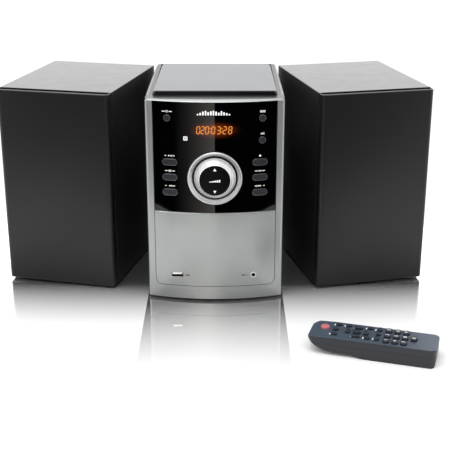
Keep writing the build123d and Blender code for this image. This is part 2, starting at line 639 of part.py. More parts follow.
# ---------------------------------------------------------------- speakers
def speaker_cabinet():
    """A glued wooden box with the driver's hole in its front and the port and lead holes in its back."""
    half, low = SPK_W / 2, FOOT_H
    front = GRILLE_T + 0.4
    box = block((-half, half), (front, SPK_D), (low, SPK_H))
    box = softened(box, box.edges().filter_by(Axis.Y), 0.8)
    depth = (front + BOARD_T, SPK_D - BOARD_T)
    inside = block((BOARD_T - half, half - BOARD_T), depth, (low + BOARD_T, SPK_H - BOARD_T))
    box -= inside
    box -= rod_y(DRIVER_R - 2, 0, (0, 40), DRIVER_Z)
    box -= rod_y(DRIVER_R + 5.2, 0, (0, front + 3.2), DRIVER_Z)
    for x, z in GRILLE_PEGS:
        box -= rod_y(PEG_R + 0.1, x, (0, front + 7), z)
    box -= rod_y(PORT_R + 2.2, 0, (150, 190), PORT_Z)
    return box - rod_y(6.2, 0, (150, 190), 60)


GRILLE_PEGS = [(side * (SPK_W / 2 - 14), z) for side in (-1, 1) for z in (20, SPK_H - 17)]


def speaker_grille():
    """A moulded frame with four pegs, and the cloth stretched over its front and sides."""
    half, low, high = SPK_W / 2 - 0.3, FOOT_H + 0.4, SPK_H - 0.3
    cloth = block((-half, half), (0, GRILLE_T), (low, high))
    cloth = fillet(cloth.edges().filter_by(Axis.Z).sort_by(Axis.Y)[:2], 5.0)
    cloth = softened(cloth, cloth.faces().sort_by(Axis.Y)[0].edges(), 1.2)
    inner_half = half - CLOTH_T
    filling = block((-inner_half, inner_half), (CLOTH_T, GRILLE_T + 1), (low + CLOTH_T, high - CLOTH_T))
    filling = fillet(filling.edges().filter_by(Axis.Z).sort_by(Axis.Y)[:2], 4.2)
    frame = filling & block((-half, half), (0, GRILLE_T), (0, high))
    window = 12.0
    frame -= block((window - half, half - window), (-1, 20), (low + window, 66))
    frame -= block((window - half, half - window), (-1, 20), (74, high - window))
    frame -= block((9 - half, half - 9), (4.5, 20), (low + 9, high - 9))
    for x, z in GRILLE_PEGS:
        frame = frame + rod_y(PEG_R, x, (4, GRILLE_T + 6.5), z)
    return [cloth - filling, frame]


def woofer_frame():
    """The driver's pressed basket with its windows, the rubber surround, and the magnet behind."""
    front = GRILLE_T + 0.4
    basket = turned_y([
        (47.5, front), (51.0, front), (51.0, front + 3.0), (43.5, front + 3.0),
        (42.0, front + 20), (28.0, front + 38), (28.0, front + 40), (15.0, front + 40),
        (15.0, front + 38), (26.5, front + 37), (40.3, front + 19.3), (42.0, front + 1.6),
        (47.5, front + 1.6),
    ], DRIVER_Z)  # fmt: skip
    for k in range(6):
        arm = Rot(0, 60 * k + 30, 0) * block((-9, 9), (front + 17, front + 36), (24, 60))
        basket -= Pos(0, 0, DRIVER_Z) * arm
    ring, back = front + 40, front + 58
    section = [(13.6, ring), (36.0, ring), (36.0, back), (6.0, back), (6.0, back - 2), (13.6, back - 2)]
    magnet = turned_y(section, DRIVER_Z)
    pole = rod_y(11.2, 0, (front + 36, front + 57), DRIVER_Z)
    section = [
        (47.3, front + 0.2), (46.6, front - 1.2), (44.2, front - 3.2), (41.2, front - 2.6),
        (39.4, front + 0.2), (39.4, front + 1.0), (41.6, front - 1.6), (44.0, front - 2.2),
        (46.0, front - 0.6), (46.6, front + 1.4), (47.3, front + 1.4),
    ]  # fmt: skip
    roll = turned_y(section, DRIVER_Z)
    return [merged(basket, magnet), pole + rod_y(6.5, 0, (front + 55, front + 58), DRIVER_Z), roll]


def woofer_cone():
    """The paper cone with its dust cap and the voice coil's tube."""
    front = GRILLE_T + 0.4
    cone = turned_y([
        (39.0, front + 0.4), (38.0, front + 0.4), (13.0, front + 19.0), (12.9, front + 46),
        (12.3, front + 46), (12.3, front + 18.6), (0, front + 11.5), (0, front + 10.5),
        (8.0, front + 12.2), (13.2, front + 16.4), (38.6, front - 0.4),
        (39.0, front - 0.4),
    ], DRIVER_Z)  # fmt: skip
    return cone


def port_tube():
    """The flared bass port in the back."""
    outline = [
        (PORT_R - 2, 110), (PORT_R, 110), (PORT_R, SPK_D), (PORT_R + 5, SPK_D), (PORT_R + 5, SPK_D + 1.2),
        (PORT_R + 2.5, SPK_D + 1.2), (PORT_R - 1, SPK_D - 5), (PORT_R - 2, SPK_D - 12),
    ]  # fmt: skip
    return turned_y(outline, PORT_Z)


def lead_gland():
    """The round strain-relief bush that the speaker's lead comes out of."""
    inner, outer = SPK_D - 12, SPK_D + 9
    outline = [
        (2.6, inner), (6.0, inner), (6.0, SPK_D), (9.0, SPK_D),
        (9.0, SPK_D + 1.5), (5.4, SPK_D + 3.5), (4.6, outer), (2.6, outer),
    ]  # fmt: skip
    return turned_y(outline, 60)


def speaker_feet():
    """Four round pads under a speaker."""
    return [rod_z(6.0, x, y, (0, FOOT_H)) for x in (-54, 54) for y in (30, SPK_D - 16)]


# ---------------------------------------------------------------- remote control
KEY_PITCH_X, KEY_PITCH_Y = 9.1, 11.8
DIGIT_X, DIGIT_SIZE = 15.0, (6.6, 8.6)
NAV_X = -17.0  # middle of the ring of direction keys
KEY_ROWS = {
    "head": [(-39.4, -10.5, 6.2, 5.0), (-39.4, 0.5, 6.2, 5.0), (-38.0, 12.5, 6.2, 5.0)],
    "disc": [(NAV_X, 0, 8.2, 8.2), (NAV_X - 9.6, 0, 4.6, 9.0), (NAV_X + 9.6, 0, 4.6, 9.0)],
    "ring": [(NAV_X, -10.0, 9.0, 4.8), (NAV_X, 10.0, 9.0, 4.8)],
    "corner": [(-27.4, 12.6, 5.6, 4.6), (-4.6, 12.6, 5.6, 4.6), (-4.6, -10.6, 6.0, 6.0)],
    "bars": [(5.4, 12.2, 4.2, 7.6), (5.4, 1.6, 4.2, 7.6), (5.4, -9.4, 4.2, 7.6)],
    "digits": [
        (DIGIT_X + KEY_PITCH_X * k, KEY_PITCH_Y * j, *DIGIT_SIZE) for k in range(3) for j in (-1, 0, 1)
    ],
    "zero": [(DIGIT_X + KEY_PITCH_X * 3, 0, *DIGIT_SIZE)],
}
POWER_KEY = (-51.4, 4.0, 4.8)
KEY_STAND = 2.2  # how far the keys stand above the shell
KEY_WEB = (16.4, 17.4)


def remote_block(inset):
    """The remote's whole shape, drawn in from its outside: flat top, raked head and a thinner front half."""
    left, right, top = inset - REM_L / 2, REM_L / 2 - inset, REM_H - inset
    low = inset
    waist = low + REM_WAIST
    profile = [
        Line((left + 0.8, top - 3.0), (left + 8, top - 0.6)),
        Line((left + 8, top - 0.6), (left + 24, top)),
        Line((left + 24, top), (right - 1.5, top)),
        ThreePointArc((right - 1.5, top), (right - 0.45, top - 0.45), (right, top - 1.5)),
        Line((right, top - 1.5), (right - 0.5, low + 3)),
        ThreePointArc((right - 0.5, low + 3), (right - 1.3, low + 0.9), (right - 3.2, low)),
        Line((right - 3.2, low), (-5, low)),
        Spline((-5, low), (-13.5, low + REM_WAIST / 2), (-22, waist), tangents=((-1, 0), (-1, 0))),
        Line((-22, waist), (-42, waist)),
        Spline((-42, waist), (-55, waist + 4.0), (left + 0.8, top - 3.0), tangents=((-1, 0), (-0.6, 1))),
    ]
    side = extrude(Plane.XZ * make_face(profile), REM_W / 2 + 1, both=True)
    outline = Rectangle(REM_L - 2 * inset, REM_W - 2 * inset)
    outline = fillet(outline.vertices().sort_by(Axis.X)[:2], REM_HEAD_R - inset / 2)
    outline = fillet(outline.vertices().sort_by(Axis.X)[-2:], REM_TAIL_R - inset / 2)
    plan = extrude(outline, REM_H + 5)
    return side & plan


def key_shape(x, y, length, width, z):
    """A rounded key standing on the rubber sheet."""
    low, high = z
    key = Pos(x, y, low) * extrude(RectangleRounded(length, width, min(length, width) * 0.42), high - low)
    return key


def all_keys():
    return [key for keys in KEY_ROWS.values() for key in keys]


def remote_top():
    """The upper shell with a hole for every key."""
    whole = remote_block(0.0) & block((-90, 90), (-40, 40), (REM_PART_Z, 40))
    upper = whole.edges().filter_by(lambda e: e.center().Z > REM_H - 0.8)
    rim = upper.filter_by(lambda e: abs(e.center().Y) > REM_W / 2 - 0.1)
    whole = softened(whole, rim, 1.6)
    whole -= remote_block(2.0)
    for x, y, length, width in all_keys():
        whole -= key_shape(x, y, length + 2 * KEY_GAP, width + 2 * KEY_GAP, (15, 25))
    x, y, radius = POWER_KEY
    return whole - rod_z(radius + KEY_GAP, x, y, (12, 25))


def remote_bottom():
    """The lower shell with the battery bay and the rebate that its cover slides in."""
    whole = remote_block(0.0) & block((-90, 90), (-40, 40), (-1, REM_PART_Z - 0.15))
    whole -= remote_block(2.0) & block((-90, 8), (-40, 40), (2, 20))
    whole -= block((8, REM_L / 2 - 2.2), (-REM_W / 2 + 2, REM_W / 2 - 2), (4.6, 20))
    whole -= block(BAY_X, (-12.0, 12.0), (-1, 20))
    return whole - block((BAY_X[0] - 2.6, REM_L / 2 + 1), (-15.3, 15.3), (-1, 2.2))


BAY_X = (10.0, 58.5)


def battery_cover():
    """The cover under the tail, a thin plate with a thumb pad, which slides off towards the tail."""
    plate = block((BAY_X[0] - 2.3, REM_L / 2 - 1.0), (-15.0, 15.0), (0.4, 1.9))
    plate = softened(plate, plate.edges().filter_by(Axis.Z), 1.0)
    for k in range(5):
        x = 16 + k * 2.2
        plate -= block((x, x + 0.9), (-7, 7), (-0.2, 0.8))
    return plate


def keypad():
    """The rubber sheet with all its keys moulded on, one piece."""
    sheet = block((-43.6, 50.5), (-16.5, 16.5), KEY_WEB)
    sheet = fillet(sheet.edges().filter_by(Axis.Z), 2.0)
    for x, y, length, width in all_keys():
        key = key_shape(x, y, length, width, (KEY_WEB[0] + 0.2, REM_H + KEY_STAND))
        top = key.faces().sort_by(Axis.Z)[-1].edges()
        sheet = sheet + softened(key, top, 0.7)
    return sheet


def power_key():
    """The round red key at the head."""
    x, y, radius = POWER_KEY
    key = rod_z(radius, x, y, (KEY_WEB[1] - 0.9, REM_H + KEY_STAND))
    key = softened(key, key.edges().sort_by(Axis.Z)[-1:], 2.0)
    flange = rod_z(radius + 1.2, x, y, (KEY_WEB[0], KEY_WEB[1] - 0.6))
    return key + flange + rod_z(2.0, x, y, (15.8, KEY_WEB[1]))


def remote_board():
    """The remote's circuit board with its infrared emitter at the head."""
    board = block((-54.5, 56), (-15.5, 15.5), (13.7, 14.9))
    emitter = rod_x(1.5, (-58.6, -54.0), 0, 13.9)
    return board + emitter


def batteries():
    """Two AAA cells side by side, facing opposite ways."""
    cells = []
    for side in (-1, 1):
        cell = rod_x(5.1, (12.4, 56.0), side * 5.4, 7.9)
        nub = rod_x(1.7, (11.6, 12.5) if side > 0 else (55.9, 56.8), side * 5.4, 7.9)
        cells.append(cell + nub)
    return cells


# ---------------------------------------------------------------- the whole set
def receiver():
    """Every node of the receiver."""
    made = {name: button(x, z, OVAL_W, OVAL_H) for name, (x, z) in OVAL_BUTTONS.items()}
    made |= {name: button(x, z, 2 * ROUND_R, 2 * ROUND_R) for name, (x, z) in ROUND_BUTTONS.items()}
    makers = (
        front_bezel, control_panel, lower_panel, knob_ring, volume_rocker, usb_socket, aux_jack, rear_cabinet,
        case_screws, base_tray, rubber_feet, top_cover, cd_lid, lid_grip, disc_clamp, disc_well, mech_deck,
        spindle_motor, turntable, laser_sled, sled_gear, sled_pinion, sled_motor, front_board, display_module,
        main_board, transformer, heat_sink, rear_sockets, mains_inlet,
    )  # fmt: skip
    return made | {maker.__name__: maker() for maker in makers}


def speaker(side, prefix):
    """Every node of one speaker, in its place: side is -1 on the left and 1 on the right."""
    place = Pos(side * SPK_X, SPK_Y, 0) * Rot(0, 0, side * SPK_YAW) * Pos(side * SPK_W / 2, 0, 0)
    makers = {
        "cabinet": speaker_cabinet, "grille": speaker_grille,
        "woofer_frame": woofer_frame, "woofer_cone": woofer_cone,
        "port_tube": port_tube, "lead_gland": lead_gland, "feet": speaker_feet,
    }  # fmt: skip
    return {f"{prefix}_{name}": placed(maker(), place) for name, maker in makers.items()}


def remote():
    """Every node of the remote control, in its place."""
    place = Pos(REM_X, REM_Y, 0) * Rot(0, 0, REM_YAW)
    makers = {
        "remote_top": remote_top, "remote_bottom": remote_bottom,
        "battery_cover": battery_cover, "remote_keypad": keypad,
        "remote_power_key": power_key, "remote_board": remote_board, "batteries": batteries,
    }  # fmt: skip
    return {name: placed(maker(), place) for name, maker in makers.items()}


def placed(shape, place):
    """A shape, or each of a list of shapes, moved to its place."""
    return [place * each for each in shape] if isinstance(shape, list) else place * shape


def solids_of(shape):
    """All the separate solids in a shape or a list of shapes."""
    shapes = shape if isinstance(shape, list) else [shape]
    return [solid for each in shapes for solid in each.solids()]


NODES = receiver() | speaker(-1, "left") | speaker(1, "right") | remote()
PARTS = {name: Compound(children=solids_of(shape)) for name, shape in NODES.items()}
WHOLE = [part.bounding_box() for part in PARTS.values()]
CENTRE = [(min(tuple(b.min)[i] for b in WHOLE) + max(tuple(b.max)[i] for b in WHOLE)) / 2 for i in (0, 1)]

os.makedirs("parts", exist_ok=True)
for name, part in PARTS.items():
    export_step(Pos(-CENTRE[0], -CENTRE[1], 0) * part, f"parts/{name}.step")
print(len(PARTS), "nodes; the footprint's centre was at", [round(c, 3) for c in CENTRE])
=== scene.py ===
# %% [markdown]
# A mini hifi system, finished in Blender around its CAD frame
# The frame holds every part that moves or fits, at its real size. Blender adds what a frame doesn't
# carry: cloth over the speakers, printed marks, lit digits, and a finish for every surface. All places
# are worked out from the frame, so nothing is fitted by eye.

import math

import bmesh
import bpy
from mathutils import Matrix, Vector


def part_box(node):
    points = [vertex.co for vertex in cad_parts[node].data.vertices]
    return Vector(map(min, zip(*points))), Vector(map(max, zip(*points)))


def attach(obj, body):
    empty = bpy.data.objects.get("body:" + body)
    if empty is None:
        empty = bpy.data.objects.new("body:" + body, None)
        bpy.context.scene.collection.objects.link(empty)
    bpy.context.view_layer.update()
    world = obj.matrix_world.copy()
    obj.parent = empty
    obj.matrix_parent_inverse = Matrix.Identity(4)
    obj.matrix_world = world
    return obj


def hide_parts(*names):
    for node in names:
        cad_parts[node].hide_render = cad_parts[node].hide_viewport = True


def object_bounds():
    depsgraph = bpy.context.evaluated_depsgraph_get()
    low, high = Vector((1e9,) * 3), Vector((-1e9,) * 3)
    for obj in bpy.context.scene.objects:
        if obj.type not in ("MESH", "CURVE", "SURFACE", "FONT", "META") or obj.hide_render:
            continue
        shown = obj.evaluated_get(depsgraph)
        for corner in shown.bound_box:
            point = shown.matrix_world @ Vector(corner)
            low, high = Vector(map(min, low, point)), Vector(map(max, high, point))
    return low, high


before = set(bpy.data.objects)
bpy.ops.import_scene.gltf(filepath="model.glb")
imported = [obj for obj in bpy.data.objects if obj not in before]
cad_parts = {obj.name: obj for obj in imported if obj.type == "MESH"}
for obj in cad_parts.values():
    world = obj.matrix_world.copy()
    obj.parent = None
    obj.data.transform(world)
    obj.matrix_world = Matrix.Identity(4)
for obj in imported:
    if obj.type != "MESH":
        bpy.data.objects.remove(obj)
cad_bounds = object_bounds()
MM = 0.001

# %% [markdown]
# The receiver's own measures
# The front bows outwards on a 240 mm radius, so a mark on it needs its depth worked out from how far it
# is from the middle. The middle of the front moulding gives X = 0, and its back edge lies 10 mm behind
# the line between its two front corners.

# %% Receiver measures
bezel_low, bezel_high = (Vector(corner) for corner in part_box("front_bezel"))
CORNER_LINE_Y = bezel_high.y - 10 * MM
HALF_WIDTH = (bezel_high.x - bezel_low.x) / 2
FRONT_RADIUS = 240 * MM
ACRYLIC_INSET = 1.5 * MM


def front_y(x, inset=0.0):
    """How far back the curved front is at a place across it."""
    middle = math.sqrt(FRONT_RADIUS**2 - HALF_WIDTH**2)
    return CORNER_LINE_Y + middle - math.sqrt((FRONT_RADIUS - inset) ** 2 - x**2)


def middle_of(node):
    """The middle of a CAD node's box."""
    low, high = (Vector(corner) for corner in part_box(node))
    return (low + high) / 2


knob = middle_of("knob_ring")
print("the front's middle stands", round((CORNER_LINE_Y - front_y(0)) / MM, 1), "mm proud of its corners")

# %% [markdown]
# Camera
# A product shot is taken with a long lens from a little above, so that the uprights hardly lean
# together. An 80 mm lens a metre away does that here, tipped down by 20 degrees.

# %% Camera
camera_data = bpy.data.cameras.new("shot")
camera_data.lens = 80
camera_data.sensor_width = 36
camera = bpy.data.objects.new("shot", camera_data)
bpy.context.collection.objects.link(camera)
camera.location = (11.3 * MM, CORNER_LINE_Y - 1.080, 0.4844)
camera.rotation_euler = (math.radians(90 - 20.05), 0, 0)
bpy.context.scene.camera = camera
bpy.context.scene.view_settings.view_transform = "Standard"
print("camera at", tuple(round(v, 3) for v in camera.location))

# %% [markdown]
# Colours and nodes
# Hex colours are what a designer reads off a sample, but Blender's sockets hold linear light. One
# function turns the one into the other. Another adds a node with its settings and links in one line,
# which keeps a material's recipe short enough to read.


# %% Colour and node helpers
def linear(hex_colour):
    """A hex colour as linear red, green, blue and alpha."""
    values = [int(hex_colour[i : i + 2], 16) / 255 for i in (1, 3, 5)]
    return [v / 12.92 if v <= 0.04045 else ((v + 0.055) / 1.055) ** 2.4 for v in values] + [1.0]


def add(material, kind, settings=(), **inputs):
    """Adds a node. Settings are its properties; inputs are its sockets, each a value or another socket."""
    node = material.node_tree.nodes.new("ShaderNode" + kind)
    for name, value in dict(settings).items():
        setattr(node, name, value)
    for name, value in inputs.items():
        socket = node.inputs[int(name[1:])] if name[0] == "i" and name[1:].isdigit() else node.inputs[name.replace("_", " ")]
        if isinstance(value, bpy.types.NodeSocket):
            material.node_tree.links.new(value, socket)
        else:
            socket.default_value = value
    return node


def new_material(name, base, roughness, **sockets):
    """A material with one Principled shader, whose uniform values are set on its own sockets."""
    material = bpy.data.materials.new(name)
    material.use_nodes = True
    shader = material.node_tree.nodes["Principled BSDF"]
    shader.inputs["Base Color"].default_value = linear(base)
    shader.inputs["Roughness"].default_value = roughness
    for socket, value in sockets.items():
        shader.inputs[socket.replace("_", " ")].default_value = value
    material.diffuse_color = linear(base)
    return material


def connect(material, output, socket):
    """Links an output to one of the Principled shader's sockets."""
    material.node_tree.links.new(output, material.node_tree.nodes["Principled BSDF"].inputs[socket])


def blend_colours(material, factor, dark, light):
    """A colour that runs from one hex value to another with the factor."""
    ramp = add(material, "ValToRGB", Fac=factor)
    ramp.color_ramp.elements[0].color = linear(dark)
    ramp.color_ramp.elements[1].color = linear(light)
    return ramp


def object_place(material):
    """The place on the object itself, in metres."""
    return add(material, "TexCoord").outputs["Object"]


# %% [markdown]
# Silver-painted ABS
# The front moulding, the lid and its surround are ABS, sprayed with a silver paint: small aluminium
# flakes in a clear binder. The flakes make it half metallic, and the binder keeps it satin. Flakes are
# about 0.05 mm, too fine to show at arm's length, so the speckle is drawn at 0.4 mm and kept faint. Slow
# drifts in the spray's thickness give a few percent of variation over some centimetres.


# %% Silver paint
def sprayed_silver(name, dark, light, roughness, metallic):
    """Silver paint over ABS, with faint flake and slow cloudiness."""
    material = new_material(name, light, roughness, Metallic=metallic, IOR=1.5)
    place = object_place(material)
    flake = add(material, "TexNoise", Vector=place, Scale=1 / (0.4 * MM), Detail=1.0)
    cloud = add(material, "TexNoise", Vector=place, Scale=1 / (45 * MM), Detail=2.0)
    both = add(material, "Math", {"operation": "MULTIPLY_ADD"}, i0=flake.outputs["Fac"], i1=0.35, i2=cloud.outputs["Fac"])
    spread = add(material, "MapRange", Value=both.outputs[0], From_Min=0.35, From_Max=1.0)
    connect(material, blend_colours(material, spread.outputs[0], dark, light).outputs[0], "Base Color")
    rough = add(material, "MapRange", Value=flake.outputs["Fac"], To_Min=roughness - 0.05, To_Max=roughness + 0.05)
    connect(material, rough.outputs[0], "Roughness")
    bump = add(material, "Bump", Height=flake.outputs["Fac"], Strength=0.08, Distance=0.02 * MM)
    connect(material, bump.outputs[0], "Normal")
    return material


silver_paint = sprayed_silver("silver_painted_abs", "#A3A6A5", "#AFB2B1", 0.30, 0.60)
# The lid and the cover round it get darker copies of the same silver paint: painted shade on the upper faces.
lid_paint_shaded = sprayed_silver("silver_painted_abs_lid_shaded", "#68696D", "#727377", 0.36, 0.50)
cover_paint_shaded = sprayed_silver("silver_painted_abs_cover_shaded", "#6C6E6D", "#777978", 0.32, 0.60)
# Up to 0.7 mm outside the lid's sides the cover is coloured near black: painted shade in the gap round the lid, not
# bare plastic.
cover_place = add(cover_paint_shaded, "SeparateXYZ", Vector=object_place(cover_paint_shaded)).outputs["X"]
from_lid = add(cover_paint_shaded, "Math", {"operation": "ABSOLUTE"}, i0=cover_place)
painted = add(cover_paint_shaded, "Math", {"operation": "GREATER_THAN"}, i0=from_lid.outputs[0], i1=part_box("cd_lid")[1][0] + 0.7 * MM)
cover_colour = cover_paint_shaded.node_tree.nodes["Principled BSDF"].inputs["Base Color"].links[0].from_socket
bare = add(cover_paint_shaded, "Mix", {"data_type": "RGBA"}, i0=painted.outputs[0], i6=linear("#141415"))
cover_paint_shaded.node_tree.links.new(cover_colour, bare.inputs[7])
# In front of the lid the cover is coloured a darker grey: painted shade on its front strip.
cover_y = add(cover_paint_shaded, "SeparateXYZ", Vector=object_place(cover_paint_shaded)).outputs["Y"]
before_lid = add(cover_paint_shaded, "Math", {"operation": "LESS_THAN"}, i0=cover_y, i1=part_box("cd_lid")[0][1] - 0.4 * MM)
strip = add(cover_paint_shaded, "Mix", {"data_type": "RGBA"}, i0=before_lid.outputs[0], i6=bare.outputs[2], i7=linear("#3C3D3D"))
connect(cover_paint_shaded, strip.outputs[2], "Base Color")
print("silver paints made")

# %% [markdown]
# Black acrylic, gloss black ABS and grained ABS
# The facia is cast acrylic, dyed black and polished: a sharp, weak reflection over a deep black. The
# lid's grip strip is gloss black ABS straight from a polished mould. The case behind is cheaper black
# ABS from a spark-eroded mould, whose grain of about 0.8 mm breaks up the shine.

# %% Black plastics
black_acrylic = new_material("dyed_cast_acrylic", "#020203", 0.04, IOR=1.49)
wave_place = object_place(black_acrylic)
moulding_wave = add(black_acrylic, "TexNoise", Vector=wave_place, Scale=1 / (60 * MM), Detail=0.0)
acrylic_bump = add(black_acrylic, "Bump", Height=moulding_wave.outputs["Fac"], Strength=0.05, Distance=0.3 * MM)
connect(black_acrylic, acrylic_bump.outputs[0], "Normal")


def grained(name, dark, light, roughness, grain_mm, depth_mm, **sockets):
    """Moulded plastic with a spark-eroded grain."""
    material = new_material(name, light, roughness, **sockets)
    place = object_place(material)
    grain = add(material, "TexVoronoi", {"feature": "SMOOTH_F1"}, Vector=place, Scale=1 / (grain_mm * MM), Smoothness=0.6)
    speckle = add(material, "TexNoise", Vector=place, Scale=2.5 / (grain_mm * MM), Detail=2.0)
    mixed = add(material, "Math", {"operation": "MULTIPLY_ADD"}, i0=speckle.outputs["Fac"], i1=0.5, i2=grain.outputs["Distance"])
    connect(material, blend_colours(material, mixed.outputs[0], dark, light).outputs[0], "Base Color")
    bump = add(material, "Bump", Height=mixed.outputs[0], Strength=0.5, Distance=depth_mm * MM)
    connect(material, bump.outputs[0], "Normal")
    rough = add(material, "MapRange", Value=speckle.outputs["Fac"], To_Min=roughness - 0.08, To_Max=roughness + 0.08)
    connect(material, rough.outputs[0], "Roughness")
    return material


gloss_black = grained("gloss_black_abs", "#101015", "#16161C", 0.30, 3.0, 0.002, Specular_IOR_Level=0.35)
grained_black = grained("grained_black_abs", "#131314", "#1D1D1F", 0.48, 0.8, 0.03)
fine_black = grained("fine_textured_black_abs", "#0E0E0F", "#161618", 0.42, 0.5, 0.02)
soft_rubber = grained("black_rubber", "#111111", "#1A1A1A", 0.72, 0.6, 0.02)
remote_plastic = grained("blue_grey_textured_abs", "#37414E", "#465361", 0.42, 0.5, 0.02)
# Where the shell faces sideways rather than up its colour runs to a dark charcoal: painted shade on the sides.
shell_facing = add(remote_plastic, "SeparateXYZ", Vector=add(remote_plastic, "NewGeometry").outputs["Normal"])
shell_upward = add(remote_plastic, "MapRange", Value=shell_facing.outputs["Z"], From_Min=0.35, From_Max=0.95)
shell_colour = remote_plastic.node_tree.nodes["Principled BSDF"].inputs["Base Color"].links[0].from_socket
shell_side_shade = add(remote_plastic, "Mix", {"data_type": "RGBA"}, i0=shell_upward.outputs[0], i6=linear("#202329"))
remote_plastic.node_tree.links.new(shell_colour, shell_side_shade.inputs[7])
connect(remote_plastic, shell_side_shade.outputs[2], "Base Color")
remote_under = grained("charcoal_textured_abs", "#1C1B1F", "#252429", 0.45, 0.5, 0.02)
silicone = grained("dark_silicone_rubber", "#1F242C", "#2A303A", 0.50, 0.9, 0.01)
tongue_white = grained("white_nylon", "#F0F0EC", "#FAFAF7", 0.45, 1.0, 0.01)
print("moulded plastics made")

# %% [markdown]
# Metals
# The dish round the volume control is turned aluminium: a lathe leaves fine rings about 0.15 mm apart
# that stretch highlights across the grain. Steel parts are plated or zinc coated, and the heat sink is
# extruded aluminium, with die lines along its length.


# %% Metals
def turned_metal(name, base, roughness, centre, pitch_mm, metallic):
    """Metal with concentric lathe rings in the plane of the front, and a near-black ring of painted shade where the
    rocker meets the dish.
    """
    material = new_material(name, base, roughness, Metallic=metallic)
    place = add(material, "Mapping", Vector=object_place(material), Location=(-centre.x, 0, -centre.z))
    flat = add(material, "Mapping", Vector=place.outputs[0], Rotation=(math.radians(90), 0, 0))
    rings = add(
        material, "TexWave", {"wave_type": "RINGS", "rings_direction": "Z"}, Vector=flat.outputs[0],
        Scale=1 / (pitch_mm * MM * 20), Distortion=0.0,
    )
    rough = add(material, "MapRange", Value=rings.outputs["Fac"], To_Min=roughness - 0.05, To_Max=roughness + 0.07)
    connect(material, rough.outputs[0], "Roughness")
    bump = add(material, "Bump", Height=rings.outputs["Fac"], Strength=0.05, Distance=0.01 * MM)
    connect(material, bump.outputs[0], "Normal")
    # A ring about the rocker's edge is coloured near black: painted shade in the gap between the rocker and the dish.
    radius = add(material, "VectorMath", {"operation": "LENGTH"}, i0=flattened(material, place.outputs[0])).outputs["Value"]
    off_groove = add(material, "Math", {"operation": "SUBTRACT"}, i0=radius, i1=GROOVE_R)
    beside = add(material, "Math", {"operation": "ABSOLUTE"}, i0=off_groove.outputs[0])
    clear_of_gap_shade = add(material, "MapRange", Value=beside.outputs[0], From_Min=0.7 * MM, From_Max=1.2 * MM)
    connect(material, blend_colours(material, clear_of_gap_shade.outputs[0], "#0C0C0D", base).outputs[0], "Base Color")
    return material


def flattened(material, place):
    """The same place with its depth taken out, so that a distance is measured in the plane of the front."""
    return add(material, "VectorMath", {"operation": "MULTIPLY"}, i0=place, i1=(1, 0, 1)).outputs["Vector"]


rocker_low, rocker_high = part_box("volume_rocker")
ring_low, ring_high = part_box("knob_ring")
GROOVE_R = (rocker_high[0] - rocker_low[0]) / 2 + 0.3 * MM
print("rocker radius", round((rocker_high[0] - rocker_low[0]) / 2 / MM, 2), "ring radius", round((ring_high[0] - ring_low[0]) / 2 / MM, 2))


def plain_metal(name, base, roughness, stretch=(1, 1, 1), scratch_mm=0.6, metallic=1.0):
    """Metal with fine scratches, stretched along one way where it was rolled or drawn."""
    material = new_material(name, base, roughness, Metallic=metallic)
    place = add(material, "Mapping", Vector=object_place(material), Scale=stretch)
    scratches = add(material, "TexNoise", Vector=place.outputs[0], Scale=1 / (scratch_mm * MM), Detail=3.0)
    rough = add(material, "MapRange", Value=scratches.outputs["Fac"], To_Min=roughness - 0.08, To_Max=roughness + 0.10)
    connect(material, rough.outputs[0], "Roughness")
    bump = add(material, "Bump", Height=scratches.outputs["Fac"], Strength=0.1, Distance=0.01 * MM)
    connect(material, bump.outputs[0], "Normal")
    return material


turned_aluminium = turned_metal("turned_aluminium", "#E0E1E3", 0.24, knob, 0.5, 0.75)
knob_silver = turned_metal("turned_silver_paint", "#F6F7F9", 0.26, knob, 0.5, 0.70)
nickel = plain_metal("nickel_plated_steel", "#EDEBE6", 0.30, metallic=0.6)
zinc_steel = plain_metal("zinc_plated_steel", "#9C9EA0", 0.34, (1, 0.1, 1))
black_steel = plain_metal("black_zinc_steel", "#2A2A2D", 0.32)
extruded_aluminium = plain_metal("extruded_aluminium", "#B4B6B8", 0.35, (1, 1, 0.05))
gold_contact = plain_metal("gold_plated_contact", "#D9B45A", 0.2)
socket_finish = grained("black_abs_with_nickel_barrels", "#0E0E0F", "#161618", 0.38, 0.5, 0.02)
socket_y = add(socket_finish, "SeparateXYZ", Vector=object_place(socket_finish)).outputs["Y"]
BARREL_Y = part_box("rear_sockets")[1][1] - 6 * MM
barrel = add(socket_finish, "Math", {"operation": "GREATER_THAN"}, i0=socket_y, i1=BARREL_Y)
plate_colour = socket_finish.node_tree.nodes["Principled BSDF"].inputs["Base Color"].links[0].from_socket
barrel_tone = add(socket_finish, "Mix", {"data_type": "RGBA"}, i0=barrel.outputs[0], i7=linear("#D6D4CE"))
socket_finish.node_tree.links.new(plate_colour, barrel_tone.inputs[6])
connect(socket_finish, barrel_tone.outputs[2], "Base Color")
connect(socket_finish, barrel.outputs[0], "Metallic")
print("metals made")

# %% [markdown]
# Buttons
# The small buttons are sprayed a dark gunmetal, glossier than the case. Their rounded rims catch the
# overhead light as a thin bright line, which needs a low roughness and real rounded geometry.

# %% Button paint
button_paint = grained("gunmetal_painted_abs", "#34353A", "#3F4045", 0.22, 2.5, 0.002, Metallic=0.45, Coat_Weight=1.0, Coat_Roughness=0.10)
rocker_face_paint = grained("dark_rocker_paint", "#060607", "#0A0A0B", 0.34, 0.6, 0.002, Specular_IOR_Level=0.1)
power_cap = grained("red_translucent_cap", "#B05C64", "#C9777E", 0.32, 1.2, 0.005)
power_cap.node_tree.nodes["Principled BSDF"].inputs["Subsurface Weight"].default_value = 0.25
power_cap.node_tree.nodes["Principled BSDF"].inputs["Subsurface Scale"].default_value = 2 * MM
